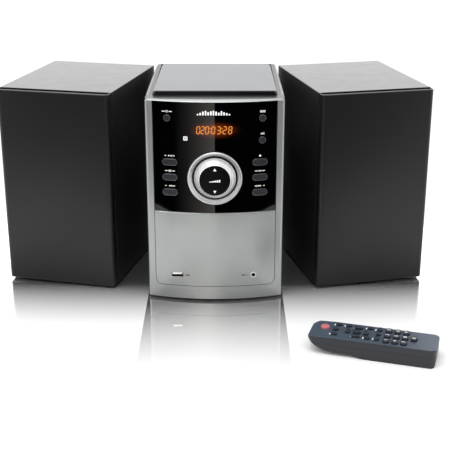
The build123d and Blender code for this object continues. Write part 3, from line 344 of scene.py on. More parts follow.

# %% [markdown]
# White screen print and lit digits
# The marks are screen-printed in white ink, about 0.03 mm thick and fully matt; the ink is also given a faint glow,
# painted light that keeps the marks bright. The digits are light from a small fluorescent display that shines through
# the dyed facia, so they only give out light.

# %% Print and light
white_ink_with_glow = new_material("white_screen_ink_with_glow", "#F2F2F0", 0.6)
ink_grain = add(white_ink_with_glow, "TexNoise", Vector=object_place(white_ink_with_glow), Scale=1 / (0.3 * MM), Detail=1.0)
connect(white_ink_with_glow, blend_colours(white_ink_with_glow, ink_grain.outputs["Fac"], "#E2E2E0", "#F8F8F6").outputs[0], "Base Color")
# The ink glows faintly: painted light, not a lamp.
white_ink_with_glow.node_tree.nodes["Principled BSDF"].inputs["Emission Color"].default_value = linear("#F8F8F6")
white_ink_with_glow.node_tree.nodes["Principled BSDF"].inputs["Emission Strength"].default_value = 0.25
grey_ink = new_material("grey_screen_ink", "#4C4F50", 0.6)
grey_grain = add(grey_ink, "TexNoise", Vector=object_place(grey_ink), Scale=1 / (0.3 * MM), Detail=1.0)
connect(grey_ink, blend_colours(grey_ink, grey_grain.outputs["Fac"], "#454849", "#585B5C").outputs[0], "Base Color")
digit_light = new_material("display_light", "#000000", 0.5)
digit_grain = add(digit_light, "TexNoise", Vector=object_place(digit_light), Scale=1 / (1.2 * MM), Detail=1.0)
connect(digit_light, blend_colours(digit_light, digit_grain.outputs["Fac"], "#F58A30", "#FFA850").outputs[0], "Emission Color")
digit_light.node_tree.nodes["Principled BSDF"].inputs["Emission Strength"].default_value = 1.0

# %% [markdown]
# Foil on the speaker cabinets
# The cabinets are fibreboard wrapped in black foil: gloss on the top, matt on the sides and the back.
# From low down the top mirrors the bright studio behind it, and the sides stay black. The two finishes
# are told apart by which way the surface faces. Pressed on board, a foil is never quite flat: it has a
# slow ripple of some 20 mm that wobbles reflections.

# %% Cabinet foil
cabinet_foil = new_material("black_foil_with_gloss_top", "#0A0A0C", 0.2, IOR=1.6)
foil_place = object_place(cabinet_foil)
ripple = add(cabinet_foil, "TexNoise", Vector=foil_place, Scale=1 / (20 * MM), Detail=2.0)
foil_bump = add(cabinet_foil, "Bump", Height=ripple.outputs["Fac"], Strength=0.08, Distance=0.1 * MM)
connect(cabinet_foil, foil_bump.outputs[0], "Normal")
facing = add(cabinet_foil, "SeparateXYZ", Vector=add(cabinet_foil, "NewGeometry").outputs["Normal"])
upward = add(cabinet_foil, "MapRange", Value=facing.outputs["Z"], From_Min=0.4, From_Max=0.8, To_Min=0.52, To_Max=0.17)
fine_rough = add(cabinet_foil, "Math", {"operation": "MULTIPLY_ADD"}, i0=ripple.outputs["Fac"], i1=0.08, i2=upward.outputs[0])
connect(cabinet_foil, fine_rough.outputs[0], "Roughness")

# %% [markdown]
# Speaker cloth
# Acoustic cloth is a plain weave of charcoal polyester, open enough for sound. Its threads are about
# 0.5 mm apart; that would blur away at this distance, so they are drawn 1 mm apart. Two crossed waves
# give the warp and the weft, and each pushes the other down where they cross. A little sheen stands for
# the fine hairs that catch grazing light.


# %% Cloth
def woven(name, dark, light, turn, pitch_mm):
    """Plain-woven cloth in an upright plane that faces along Y before it is turned."""
    material = new_material(name, light, 0.85, Sheen_Weight=0.03, Sheen_Roughness=0.5, Specular_IOR_Level=0.25)
    place = add(material, "Mapping", Vector=object_place(material), Rotation=(0, 0, turn))
    parts = add(material, "SeparateXYZ", Vector=place.outputs[0])
    rate = 2 * math.pi / (pitch_mm * MM)
    warp = add(material, "Math", {"operation": "SINE"}, i0=add(material, "Math", {"operation": "MULTIPLY"}, i0=parts.outputs["X"], i1=rate).outputs[0])
    weft = add(material, "Math", {"operation": "SINE"}, i0=add(material, "Math", {"operation": "MULTIPLY"}, i0=parts.outputs["Z"], i1=rate).outputs[0])
    cross = add(material, "Math", {"operation": "MULTIPLY"}, i0=warp.outputs[0], i1=weft.outputs[0])
    height = add(material, "MapRange", Value=cross.outputs[0], From_Min=-1.0)
    slub = add(material, "TexNoise", Vector=place.outputs[0], Scale=1 / (2.5 * MM), Detail=3.0)
    tone = add(material, "Math", {"operation": "MULTIPLY_ADD"}, i0=slub.outputs["Fac"], i1=0.7, i2=add(material, "Math", {"operation": "MULTIPLY"}, i0=height.outputs[0], i1=0.4).outputs[0])
    connect(material, blend_colours(material, tone.outputs[0], dark, light).outputs[0], "Base Color")
    bump = add(material, "Bump", Height=height.outputs[0], Strength=0.5, Distance=0.12 * MM)
    connect(material, bump.outputs[0], "Normal")
    return material


print("cloth recipe ready")

# %% [markdown]
# Sockets in the lower panel
# Both sockets are bright nickel outside, and inside, where shade falls, they are coloured black: painted shade. One
# part holds both, so the inside is told from the outside by its distance from the socket's middle, for the round jack,
# and by two half sizes for the flat USB shell.

# %% Socket metals
usb_middle, jack_middle = middle_of("usb_socket"), middle_of("aux_jack")


def nickel_with_shaded_inside(name, centre, half_width, half_height):
    """Nickel coloured black within an oval or a flat rectangle about the socket's middle, as painted shade inside the
    socket.
    """
    material = plain_metal(name, "#EDEBE6", 0.30, metallic=0.5)
    place = add(material, "Mapping", Vector=object_place(material), Location=(-centre.x, 0, -centre.z))
    parts = add(material, "SeparateXYZ", Vector=place.outputs[0])
    across = add(material, "Math", {"operation": "DIVIDE"}, i0=parts.outputs["X"], i1=half_width)
    up = add(material, "Math", {"operation": "DIVIDE"}, i0=parts.outputs["Z"], i1=half_height)
    far_across = add(material, "Math", {"operation": "POWER"}, i0=add(material, "Math", {"operation": "ABSOLUTE"}, i0=across.outputs[0]).outputs[0], i1=2.0)
    far_up = add(material, "Math", {"operation": "POWER"}, i0=add(material, "Math", {"operation": "ABSOLUTE"}, i0=up.outputs[0]).outputs[0], i1=2.0)
    distance = add(material, "Math", {"operation": "ADD"} if half_width == half_height else {"operation": "MAXIMUM"}, i0=far_across.outputs[0], i1=far_up.outputs[0])
    outside = add(material, "Math", {"operation": "GREATER_THAN"}, i0=distance.outputs[0], i1=1.0)
    # The black inside the socket is painted shade.
    connect(material, blend_colours(material, outside.outputs[0], "#050505", "#EDEBE6").outputs[0], "Base Color")
    return material


usb_metal = nickel_with_shaded_inside("nickel_usb_shell", usb_middle, 6.8 * MM, 2.6 * MM)
jack_metal = nickel_with_shaded_inside("nickel_jack_nut", jack_middle, 2.3 * MM, 2.3 * MM)

# %% [markdown]
# Inside the case
# Circuit boards are glass fibre under a green solder mask, with dark chips standing on them. The gears
# are white acetal, the cones are black paper pulp, and the cells have a printed steel jacket.

# %% Inner materials
acetal = grained("white_acetal", "#CFCDC3", "#DEDCD4", 0.40, 1.5, 0.01)
cone_paper = grained("black_pulp_paper", "#141414", "#232322", 0.85, 1.2, 0.08)
taped_winding = grained("taped_iron_core", "#2B2620", "#3A342C", 0.55, 2.0, 0.05)


def solder_mask(name, board_top):
    """Green board below a height and dark components above it."""
    material = new_material(name, "#0D4A22", 0.35, IOR=1.5)
    place = object_place(material)
    tracks = add(material, "TexVoronoi", {"feature": "F1", "distance": "CHEBYCHEV"}, Vector=place, Scale=1 / (3 * MM))
    green = blend_colours(material, tracks.outputs["Distance"], "#0B3F1D", "#1B6A36")
    height = add(material, "SeparateXYZ", Vector=place).outputs["Z"]
    above = add(material, "Math", {"operation": "GREATER_THAN"}, i0=height, i1=board_top)
    mixed = add(material, "Mix", {"data_type": "RGBA"}, i0=above.outputs[0], i6=green.outputs[0], i7=linear("#1A1A1C"))
    connect(material, mixed.outputs[2], "Base Color")
    return material


HIGHEST = cad_bounds[1][2]
main_board_mask = solder_mask("solder_mask_main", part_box("main_board")[0][2] + 12.2 * MM)
small_board_mask = solder_mask("solder_mask_small", HIGHEST)
battery_jacket = new_material("battery_jacket", "#3A3B40", 0.3, Metallic=0.6)
jacket_band = add(battery_jacket, "TexNoise", Vector=object_place(battery_jacket), Scale=1 / (8 * MM), Detail=0.0)
connect(battery_jacket, blend_colours(battery_jacket, jacket_band.outputs["Fac"], "#2E2F34", "#8C7A3C").outputs[0], "Base Color")
print(len(bpy.data.materials), "materials so far")

# %% [markdown]
# Finishes for the CAD parts
# Each CAD part whose shape is already right stays and only gets its finish. Naming the parts for each
# finish in one table shows at a glance that none is left bare.

# %% Dress the CAD parts
OVAL_BUTTONS = ["play_button", "folder_button", "back_button", "stop_button", "memory_button", "next_button"]
ROUND_BUTTONS = ["standby_button", "mode_button", "tone_button"]
SIDES = ("left", "right")


def both_sides(*parts):
    """The same parts of both speakers."""
    return [f"{side}_{part}" for side in SIDES for part in parts]


FINISHES = {
    silver_paint: ["front_bezel", "lower_panel"],
    cover_paint_shaded: ["top_cover"],
    lid_paint_shaded: ["cd_lid"],
    gloss_black: ["lid_grip"],
    black_acrylic: ["control_panel"],
    grained_black: ["rear_cabinet", "base_tray"],
    fine_black: ["disc_clamp", "disc_well", "turntable", "laser_sled", "mains_inlet", "display_module", *both_sides("port_tube", "lead_gland")],
    soft_rubber: ["rubber_feet", *both_sides("feet")],
    socket_finish: ["rear_sockets"],
    turned_aluminium: ["knob_ring"],
    knob_silver: ["volume_rocker"],
    button_paint: [*OVAL_BUTTONS, *ROUND_BUTTONS],
    usb_metal: ["usb_socket"],
    jack_metal: ["aux_jack"],
    nickel: ["spindle_motor", "sled_motor"],
    zinc_steel: ["mech_deck"],
    black_steel: ["case_screws", *both_sides("woofer_frame")],
    extruded_aluminium: ["heat_sink"],
    acetal: ["sled_gear", "sled_pinion"],
    small_board_mask: ["front_board", "remote_board"],
    main_board_mask: ["main_board"],
    taped_winding: ["transformer"],
    cabinet_foil: both_sides("cabinet"),
    cone_paper: both_sides("woofer_cone"),
    remote_plastic: ["remote_top"],
    remote_under: ["remote_bottom", "battery_cover"],
    silicone: ["remote_keypad"],
    power_cap: ["remote_power_key"],
    battery_jacket: ["batteries"],
}
for finish, nodes in FINISHES.items():
    for node in nodes:
        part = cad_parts[node]
        part.data.materials.clear()
        part.data.materials.append(finish)
dressed = {node for nodes in FINISHES.values() for node in nodes}
print("still bare:", sorted(set(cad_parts) - dressed))

# %% [markdown]
# Making and finishing a piece
# Operators act on whatever is selected, and loading the frame leaves all its parts selected. So every
# new piece starts by clearing the selection, and ends with its place applied to its mesh, its name, its
# finish and the body that it rides on.


# %% Piece helpers
def clear_selection():
    """Leaves edit mode with nothing selected."""
    if bpy.context.object and bpy.context.object.mode != "OBJECT":
        bpy.ops.object.mode_set(mode="OBJECT")
    bpy.ops.object.select_all(action="DESELECT")


def pick(kind, wanted):
    """In edit mode, selects only the faces, edges or vertices for which wanted is true."""
    bpy.ops.mesh.select_mode(type={"faces": "FACE", "edges": "EDGE", "verts": "VERT"}[kind])
    bpy.ops.mesh.select_all(action="DESELECT")
    mesh = bmesh.from_edit_mesh(bpy.context.object.data)
    for element in getattr(mesh, kind):
        if wanted(element):
            element.select_set(True)
    mesh.select_flush_mode()
    bmesh.update_edit_mesh(bpy.context.object.data)


def modify(kind, **settings):
    """Adds a modifier to the active piece and applies it."""
    modifier = bpy.context.object.modifiers.new(kind.lower(), kind)
    for name, value in settings.items():
        setattr(modifier, name, value)
    bpy.ops.object.modifier_apply(modifier=modifier.name)


def finish_piece(name, finish, body, smooth_angle=35):
    """Applies the active piece's place, smooths it, names it, gives it its finish and lets it ride."""
    clear_selection()
    piece = bpy.context.view_layer.objects.active
    piece.select_set(True)
    bpy.ops.object.transform_apply(location=True, rotation=True, scale=True)
    bpy.ops.object.shade_smooth_by_angle(angle=math.radians(smooth_angle))
    piece.name = piece.data.name = name
    piece.data.materials.clear()
    piece.data.materials.append(finish)
    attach(piece, body)
    return piece


def join_as_one(pieces):
    """Joins pieces into the first of them and makes it active."""
    clear_selection()
    for piece in pieces:
        piece.select_set(True)
    bpy.context.view_layer.objects.active = pieces[0]
    bpy.ops.object.join()
    return pieces[0]


# %% [markdown]
# Printed marks
# A printed mark is a flat shape laid on a curved face. Each is drawn flat from a few small primitives,
# joined, projected onto the face with Shrinkwrap, and given the ink's thickness with Solidify. A
# half-width of 3 mm strays only 0.02 mm from the 240 mm curve, so no bending is needed.

# %% Flat shapes for marks
INK = 0.08 * MM


def flat_bar(x, z, width, height, lean=0.0):
    """A rectangle that faces the front, with softened corners."""
    bpy.ops.mesh.primitive_plane_add(size=1, location=(x, 0, z), rotation=(math.radians(90), 0, 0))
    bar = bpy.context.object
    bar.scale = (width, height, 1)
    bpy.ops.object.transform_apply(location=False, rotation=False, scale=True)
    bpy.ops.object.mode_set(mode="EDIT")
    bpy.ops.mesh.bevel(offset=min(width, height) * 0.2, segments=2, affect="VERTICES")
    bpy.ops.object.mode_set(mode="OBJECT")
    bar.rotation_euler = (math.radians(90), lean, 0)
    return bar


def flat_disc(x, z, radius, corners=24, turn=0.0, stretch=1.0):
    """A filled regular shape that faces the front: three corners make a triangle."""
    bpy.ops.mesh.primitive_circle_add(vertices=corners, radius=radius, fill_type="NGON", location=(x, 0, z))
    disc = bpy.context.object
    disc.rotation_euler = (math.radians(90), turn, 0)
    disc.scale = (stretch, 1, 1)
    return disc


def flat_ring(x, z, radius, width):
    """A thin ring that faces the front: a disc whose face is inset, and the middle removed."""
    ring = flat_disc(x, z, radius)
    bpy.ops.object.mode_set(mode="EDIT")
    bpy.ops.mesh.select_all(action="SELECT")
    bpy.ops.mesh.inset(thickness=width, use_boundary=True)
    bpy.ops.mesh.delete(type="FACE")
    bpy.ops.object.mode_set(mode="OBJECT")
    return ring


def lay_on(shapes, node, name, ink, body, thickness=INK, stand_off=2 * INK):
    """Joins flat shapes, lays them on a CAD part and gives them the ink's thickness."""
    piece = join_as_one(shapes)
    bpy.ops.object.transform_apply(location=True, rotation=True, scale=True)
    low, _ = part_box(node)
    piece.data.transform(Matrix.Translation((0, low[1] - 5 * MM, 0)))
    modify(
        "SHRINKWRAP", target=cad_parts[node], wrap_method="PROJECT", use_project_y=True,
        use_negative_direction=False, use_positive_direction=True, offset=0.0,
    )
    piece.data.transform(Matrix.Translation((0, -stand_off, 0)))
    bpy.ops.object.mode_set(mode="EDIT")
    bpy.ops.mesh.select_all(action="SELECT")
    bpy.ops.mesh.normals_make_consistent(inside=False)
    bpy.ops.object.mode_set(mode="OBJECT")
    modify("SOLIDIFY", thickness=thickness, offset=0.0)
    return finish_piece(name, ink, body)


# %% [markdown]
# Which mark goes where
# Above each button is a small pictogram for what it does, such as two arrows to skip or a square to
# stop. Each is a list of shapes about the button's middle, all 2 mm tall, and all of them become one
# printed piece, as they are on the real facia.

# %% Facia marks
MARK = 1.0 * MM


def arrow(x, z, way, size=MARK):
    """A small triangle that points left (-1) or right (1)."""
    return flat_disc(x, z, size * 1.15, corners=3, turn=math.radians(90) * way)


def sign_skip(x, z, way):
    """A bar and two arrows."""
    return [flat_bar(x - way * 3.4 * MARK, z, 0.5 * MARK, 2 * MARK), arrow(x - way * 1.6 * MARK, z, way), arrow(x + way * 0.4 * MARK, z, way)]


def sign_play(x, z):
    """Play and pause together."""
    bars = [flat_bar(x + offset * MARK, z, 0.55 * MARK, 2 * MARK) for offset in (1.4, 2.6)]
    return [arrow(x - 0.8 * MARK, z, 1), *bars]


def sign_lines(x, z, count, width):
    """A stack of short lines."""
    return [flat_bar(x, z + (k - (count - 1) / 2) * 0.85 * MARK, width * MARK, 0.4 * MARK) for k in range(count)]


def sign_levels(x, z, heights, pitch, width):
    """A row of level bars of different heights on one line."""
    first = x - pitch * (len(heights) - 1) / 2
    return [flat_bar(first + k * pitch, z + height / 2, width, height) for k, height in enumerate(heights)]


def sign_standby(x, z):
    """A broken ring with a stroke through its gap."""
    return [flat_ring(x, z, 1.25 * MARK, 0.35 * MARK), flat_bar(x, z + 0.9 * MARK, 0.45 * MARK, 1.5 * MARK)]


def with_wings(x, z, half_sign, shapes):
    """A sign with a short dash on each side, so that it is as wide as a printed label."""
    inner, outer = half_sign + 0.9 * MARK, 5.6 * MARK
    dashes = [flat_bar(x + way * (inner + outer) / 2, z, outer - inner, 0.7 * MARK) for way in (-1, 1)]
    return shapes + dashes


above = {node: middle_of(node) + Vector((0, 0, 7.2 * MM)) for node in [*OVAL_BUTTONS, *ROUND_BUTTONS]}


def over(node):
    """Where the mark over a button goes."""
    return above[node].x, above[node].z


shapes = with_wings(*over("play_button"), 2.9 * MARK, sign_play(*over("play_button")))
shapes += with_wings(*over("folder_button"), 1.6 * MARK, sign_lines(*over("folder_button"), 3, 3.2))
shapes += with_wings(*over("back_button"), 3.0 * MARK, sign_skip(*over("back_button"), -1))
shapes += [flat_bar(*over("stop_button"), 2 * MARK, 2 * MARK)]
shapes += with_wings(*over("memory_button"), 1.8 * MARK, sign_lines(*over("memory_button"), 2, 3.6))
shapes += with_wings(*over("next_button"), 3.0 * MARK, sign_skip(*over("next_button"), 1))
shapes += with_wings(*over("standby_button"), 1.3 * MARK, sign_standby(*over("standby_button")))
shapes += sign_lines(*over("mode_button"), 3, 6.0)
tone_x, tone_z = over("tone_button")
shapes += sign_levels(tone_x, tone_z - MARK, [v * MARK for v in (1.2, 2.0, 1.5, 2.2)], 1.1 * MARK, 0.55 * MARK)
BAND_HEIGHTS = (1.6, 2.8, 4.2, 5.0, 3.6, 4.6, 5.2, 4.2, 3.0, 4.7, 3.4, 2.4, 1.5)
shapes += sign_levels(knob.x - 1.3 * MM, knob.z + 72.0 * MM, [v * MM for v in BAND_HEIGHTS], 2.9 * MM, 1.7 * MM)
CARD_SIGN_X, CARD_SIGN_Z = knob.x - 32.5 * MM, knob.z + 45.4 * MM
shapes += [flat_bar(CARD_SIGN_X, CARD_SIGN_Z + level * 1.75 * MM, 4.4 * MM, 0.95 * MM) for level in (-1, 1)]
shapes += [flat_bar(CARD_SIGN_X + way * 1.75 * MM, CARD_SIGN_Z, 0.95 * MM, 4.4 * MM) for way in (-1, 1)]
shapes += [flat_bar(CARD_SIGN_X, CARD_SIGN_Z, 1.1 * MM, 1.1 * MM)]
facia_marks = lay_on(shapes, "control_panel", "facia_marks", white_ink_with_glow, "receiver")
print("facia marks:", len(facia_marks.data.polygons), "faces")

# %% [markdown]
# Lit digits
# The display shows seven digits made of seven segments each, leaning a little. One segment is a flat
# bar with pointed ends; which of them are lit spells each digit, as on any such display.

# %% Display digits
SEGMENTS = {"0": "abcdef", "2": "abged", "3": "abgcd", "8": "abcdefg"}
DIGIT_W, DIGIT_H, STROKE = 3.35 * MM, 8.1 * MM, 0.95 * MM
PLACES = {"a": (0, 1, 0), "b": (0.5, 0.5, 1), "c": (0.5, -0.5, 1), "d": (0, -1, 0), "e": (-0.5, -0.5, 1), "f": (-0.5, 0.5, 1), "g": (0, 0, 0)}


def segment(x, z, upright):
    """One bar with pointed ends, as long as a digit is wide or half as long as it is tall."""
    length = (DIGIT_H / 2 if upright else DIGIT_W) - 0.35 * MM
    bpy.ops.mesh.primitive_plane_add(size=1)
    bar = bpy.context.object
    bar.scale = (length - STROKE, STROKE, 1)
    bpy.ops.object.transform_apply(location=False, rotation=False, scale=True)
    bpy.ops.object.mode_set(mode="EDIT")
    for way in (-1, 1):
        pick("edges", lambda e: all(way * v.co.x > length * 0.2 for v in e.verts) and abs(e.verts[0].co.x - e.verts[1].co.x) < 1e-6)
        bpy.ops.mesh.extrude_region_move(TRANSFORM_OT_translate={"value": (way * STROKE / 2, 0, 0)})
        bpy.ops.mesh.merge(type="CENTER")
    bpy.ops.object.mode_set(mode="OBJECT")
    bar.rotation_euler = (math.radians(90), math.radians(90) * upright, 0)
    bar.location = (x, 0, z)
    return bar


def lit_digit(character, x, z):
    """The lit segments of one digit about its middle."""
    lit = []
    for name in SEGMENTS[character]:
        side, level, upright = PLACES[name]
        lit.append(segment(x + side * DIGIT_W, z + (level if not upright else level) * DIGIT_H / 2, upright))
    return lit


display_z = knob.z + 55.2 * MM
DIGIT_PLACES = ((-18.2, "0"), (-13.3, "2"), (-8.4, "0"), (-1.6, "0"), (4.5, "3"), (11.0, "2"), (17.1, "8"))
COLON_PLACES = (-5.0, 7.8)
lit = []
for across, character in DIGIT_PLACES:
    lit += lit_digit(character, knob.x + across * MM, display_z)
for across in COLON_PLACES:
    for level in (-1, 1):
        lit.append(flat_bar(knob.x + across * MM, display_z + level * 1.8 * MM, 1.0 * MM, 1.0 * MM))
clear_selection()
digits = lay_on(lit, "control_panel", "display_digits", digit_light, "receiver")
for vertex in digits.data.vertices:
    vertex.co.x += (vertex.co.z - display_z) * math.tan(math.radians(5))
print("digits:", len(digits.data.polygons), "faces")

# %% [markdown]
# Glow round the digits
# The light also spreads inside the acrylic and shows as a faint orange haze round the digits. It is part
# of the facia, so it is a soft patch of emission in the acrylic's own material, which fades with the
# distance from the display's middle.

# %% Glow
GLOW_HALF_WIDTH, GLOW_HALF_HEIGHT = 30 * MM, 11 * MM
glow_place = add(
    black_acrylic, "Mapping", {"vector_type": "POINT"}, Vector=object_place(black_acrylic),
    Location=(-knob.x / GLOW_HALF_WIDTH, 0, -display_z / GLOW_HALF_HEIGHT), Scale=(1 / GLOW_HALF_WIDTH, 0, 1 / GLOW_HALF_HEIGHT),
)
glow_distance = add(black_acrylic, "VectorMath", {"operation": "LENGTH"}, i0=glow_place.outputs[0])
glow_fade = add(
    black_acrylic, "MapRange", {"interpolation_type": "SMOOTHERSTEP"}, Value=glow_distance.outputs["Value"],
    From_Min=0.05, From_Max=1.25, To_Min=1.0, To_Max=0.0,
)
glow_curve = add(black_acrylic, "Math", {"operation": "POWER"}, i0=glow_fade.outputs[0], i1=1.7)
glow_ramp = blend_colours(black_acrylic, glow_curve.outputs[0], "#000000", "#6E2C0A")
connect(black_acrylic, glow_ramp.outputs[0], "Emission Color")
black_acrylic.node_tree.nodes["Principled BSDF"].inputs["Emission Strength"].default_value = 1.0

# %% [markdown]
# Marks beside the sockets
# The lower panel has two tiny dark pictograms: a memory stick beside the USB socket and a plug beside
# the audio jack. They are laid on in the same way as the facia's marks, in grey ink.

# %% Socket marks
usb, jack = middle_of("usb_socket"), middle_of("aux_jack")
stick_x, plug_x = usb.x + 11.6 * MM, jack.x - 9.6 * MM
stick = [flat_bar(stick_x, usb.z, 3.4 * MM, 1.7 * MM), flat_bar(stick_x + 2.4 * MM, usb.z, 1.2 * MM, 1.1 * MM)]
plug = [flat_bar(plug_x, usb.z, 3.6 * MM, 0.7 * MM), flat_bar(plug_x - 2.2 * MM, usb.z, 2.6 * MM, 1.8 * MM), arrow(plug_x + 3.2 * MM, usb.z, 1, 0.8 * MM)]
socket_marks = lay_on(stick + plug, "lower_panel", "socket_marks", grey_ink, "receiver")

# %% [markdown]
# Tongue of the USB socket
# The contacts lie on a white nylon tongue in the upper half of the steel shell, the brightest thing in the socket. It
# is a slim block with a bevelled front edge.

# %% USB tongue
usb_low, usb_high = (Vector(corner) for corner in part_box("usb_socket"))
TONGUE_W, TONGUE_T, TONGUE_FRONT = 11.6 * MM, 2.3 * MM, 0.25 * MM
clear_selection()
bpy.ops.mesh.primitive_cube_add(size=1, location=(usb.x, usb_low.y + TONGUE_FRONT + 3 * MM, usb.z + 1.25 * MM))
bpy.context.object.scale = (TONGUE_W, 6 * MM, TONGUE_T)
bpy.ops.object.transform_apply(location=True, rotation=True, scale=True)
bpy.ops.object.mode_set(mode="EDIT")
pick("faces", lambda f: f.normal.y < -0.9)
bpy.ops.mesh.bevel(offset=0.3 * MM, segments=3, affect="EDGES")
bpy.ops.object.mode_set(mode="OBJECT")
usb_tongue = finish_piece("usb_tongue", tongue_white, "receiver")

# %% [markdown]
# Face of the volume rocker
# The rocker's face is a separate dark disc glued into the silver cone, slightly crowned. A thin cylinder
# gets its front edge bevelled, and its front face inset and pulled forward a little for the crown.

# %% Rocker face
rocker_low, rocker_high = (Vector(corner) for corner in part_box("volume_rocker"))
FACE_RADIUS = 17.4 * MM
FACE_THICK = 0.5 * MM
clear_selection()
bpy.ops.mesh.primitive_cylinder_add(
    vertices=96, radius=FACE_RADIUS, depth=FACE_THICK, end_fill_type="NGON",
    location=(knob.x, rocker_low.y - FACE_THICK / 2 + 0.05 * MM, knob.z), rotation=(math.radians(90), 0, 0),
)
bpy.ops.object.transform_apply(location=True, rotation=True, scale=True)
bpy.ops.object.mode_set(mode="EDIT")
front_face_y = rocker_low.y - FACE_THICK + 0.05 * MM
pick("faces", lambda f: f.normal.y < -0.9)
bpy.ops.mesh.inset(thickness=0.35 * MM)
bpy.ops.transform.translate(value=(0, -0.25 * MM, 0))
for ring_step in range(4):
    bpy.ops.mesh.inset(thickness=3.6 * MM)
    bpy.ops.transform.translate(value=(0, -(0.16 - 0.04 * ring_step) * MM, 0))
bpy.ops.object.mode_set(mode="OBJECT")
rocker_face = finish_piece("rocker_face", rocker_face_paint, "volume_rocker", 50)
up_down = [flat_disc(knob.x, knob.z + level * 12.4 * MM, 2.0 * MM, corners=3, turn=math.radians(0 if level > 0 else 180)) for level in (-1, 1)]
volume_sign = sign_levels(knob.x, knob.z - 1.6 * MM, [v * MM for v in (0.9, 1.3, 1.7, 2.1, 2.5, 2.9)], 2.1 * MM, 1.5 * MM)
rocker_marks = join_as_one(up_down + volume_sign)
bpy.ops.object.transform_apply(location=True, rotation=True, scale=True)
rocker_marks.data.transform(Matrix.Translation((0, rocker_low.y - 1.35 * MM, 0)))
modify("SOLIDIFY", thickness=INK, offset=0.0)
rocker_marks = finish_piece("rocker_marks", white_ink_with_glow, "volume_rocker")

# %% [markdown]
# Legends on the remote
# The keys' tops are found in the CAD mesh: the flat islands at its highest level, once its loose
# triangles are merged. A number is printed on each of the ten keys near the tail, and a short white bar
# on the shell beside each of the others. The remote is turned on the table, so the legends are laid out
# in its own directions first and turned with it.

# %% Find the keys
REMOTE_TURN = Matrix.Rotation(math.radians(-17), 4, "Z")
remote_middle = middle_of("remote_top")
remote_top_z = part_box("remote_top")[1][2]


def key_tops():
    """The middle of every key's top, in the remote's own directions from its middle."""
    mesh = bmesh.new()
    mesh.from_mesh(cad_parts["remote_keypad"].data)
    bmesh.ops.remove_doubles(mesh, verts=mesh.verts, dist=0.001 * MM)
    top = max(v.co.z for v in mesh.verts) - 0.02 * MM
    waiting = {f for f in mesh.faces if all(v.co.z > top for v in f.verts)}
    found = []
    while waiting:
        island, edge_of = [waiting.pop()], []
        for face in island:
            for edge in face.edges:
                for other in edge.link_faces:
                    if other in waiting:
                        waiting.remove(other)
                        island.append(other)
        area = sum(f.calc_area() for f in island)
        middle = sum((f.calc_center_median() * f.calc_area() for f in island), Vector()) / area
        found.append(REMOTE_TURN.inverted() @ (middle - remote_middle))
    mesh.free()
    return sorted(found, key=lambda v: (round(v.x / MM), v.y))


keys = key_tops()
key_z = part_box("remote_keypad")[1][2]
number_keys = [key for key in keys if key.x > 12 * MM]
other_keys = [key for key in keys if key.x <= 12 * MM]
print(len(keys), "keys,", len(number_keys), "of them with numbers")


# %% Print the legends
def lay_down(shapes, level, name):
    """Joins flat shapes that were drawn upright about the remote's middle, and lays them down on it."""
    piece = join_as_one(shapes)
    bpy.ops.object.transform_apply(location=True, rotation=True, scale=True)
    lie = Matrix(((0, 0, -1, 0), (1, 0, 0, 0), (0, -1, 0, 0), (0, 0, 0, 1)))
    place = Matrix.Translation((remote_middle.x, remote_middle.y, level)) @ REMOTE_TURN @ lie
    piece.data.transform(place)
    modify("SOLIDIFY", thickness=INK, offset=0.0)
    bpy.ops.object.mode_set(mode="EDIT")
    bpy.ops.mesh.select_all(action="SELECT")
    bpy.ops.mesh.normals_make_consistent(inside=False)
    bpy.ops.object.mode_set(mode="OBJECT")
    return piece


def number(text, x, z):
    """A printed number as a flat mesh, upright at its place."""
    bpy.ops.object.text_add(location=(x, 0, z), rotation=(math.radians(90), 0, 0))
    letter = bpy.context.object
    letter.data.body = text
    letter.data.size = 5.2 * MM
    letter.data.align_x, letter.data.align_y = "CENTER", "CENTER"
    bpy.ops.object.convert(target="MESH")
    return bpy.context.object


clear_selection()
numbers = [number(text, key.y, -key.x) for text, key in zip("1234567890", number_keys)]
key_numbers = lay_down(numbers, key_z + INK / 2, "key_numbers")
key_numbers = finish_piece("key_numbers", white_ink_with_glow, "remote_keypad")
bars = [flat_bar(key.y, -(key.x - 4.3 * MM), 3.4 * MM, 1.0 * MM) for key in other_keys if abs(key.y) > 4 * MM]
bars += [flat_bar(key.y, -key.x, 2.6 * MM, 0.9 * MM) for key in other_keys if abs(key.y) <= 4 * MM]
shell_marks = lay_down(bars, remote_top_z + INK / 2, "shell_marks")
shell_marks = finish_piece("shell_marks", white_ink_with_glow, "remote")

# %% [markdown]
# Speaker grilles
# Each grille is cloth pulled over a moulded frame. The CAD part holds both, so its frame is copied out
# as a piece of its own, and the cloth is made anew: a box without its back, with its upright edges
# rounded where it wraps the frame, and a thin wall.

# %% Grille cloth and frame
SPEAKER_W, SPEAKER_H, CLOTH_DEPTH = 135.4 * MM, 233.3 * MM, 12 * MM
YAW = math.radians(13.2)
CLOTH_EDGE, CLOTH_RIM = 5 * MM, 1.4 * MM


def speaker_place(side):
    """Where a speaker's own front middle is, and how it is turned."""
    way = -1 if side == "left" else 1
    low, high = (Vector(corner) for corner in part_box(f"{side}_grille"))
    turn = Matrix.Rotation(way * YAW, 4, "Z")
    half = SPEAKER_W / 2
    corner = turn @ Vector((-way * half, 0, 0))
    inner_x = (low.x if way > 0 else high.x)
    back_shift = turn @ Vector((-way * half, CLOTH_DEPTH, 0))
    middle_x = inner_x - min(corner.x, back_shift.x) if way > 0 else inner_x - max(corner.x, back_shift.x)
    return way, turn, middle_x


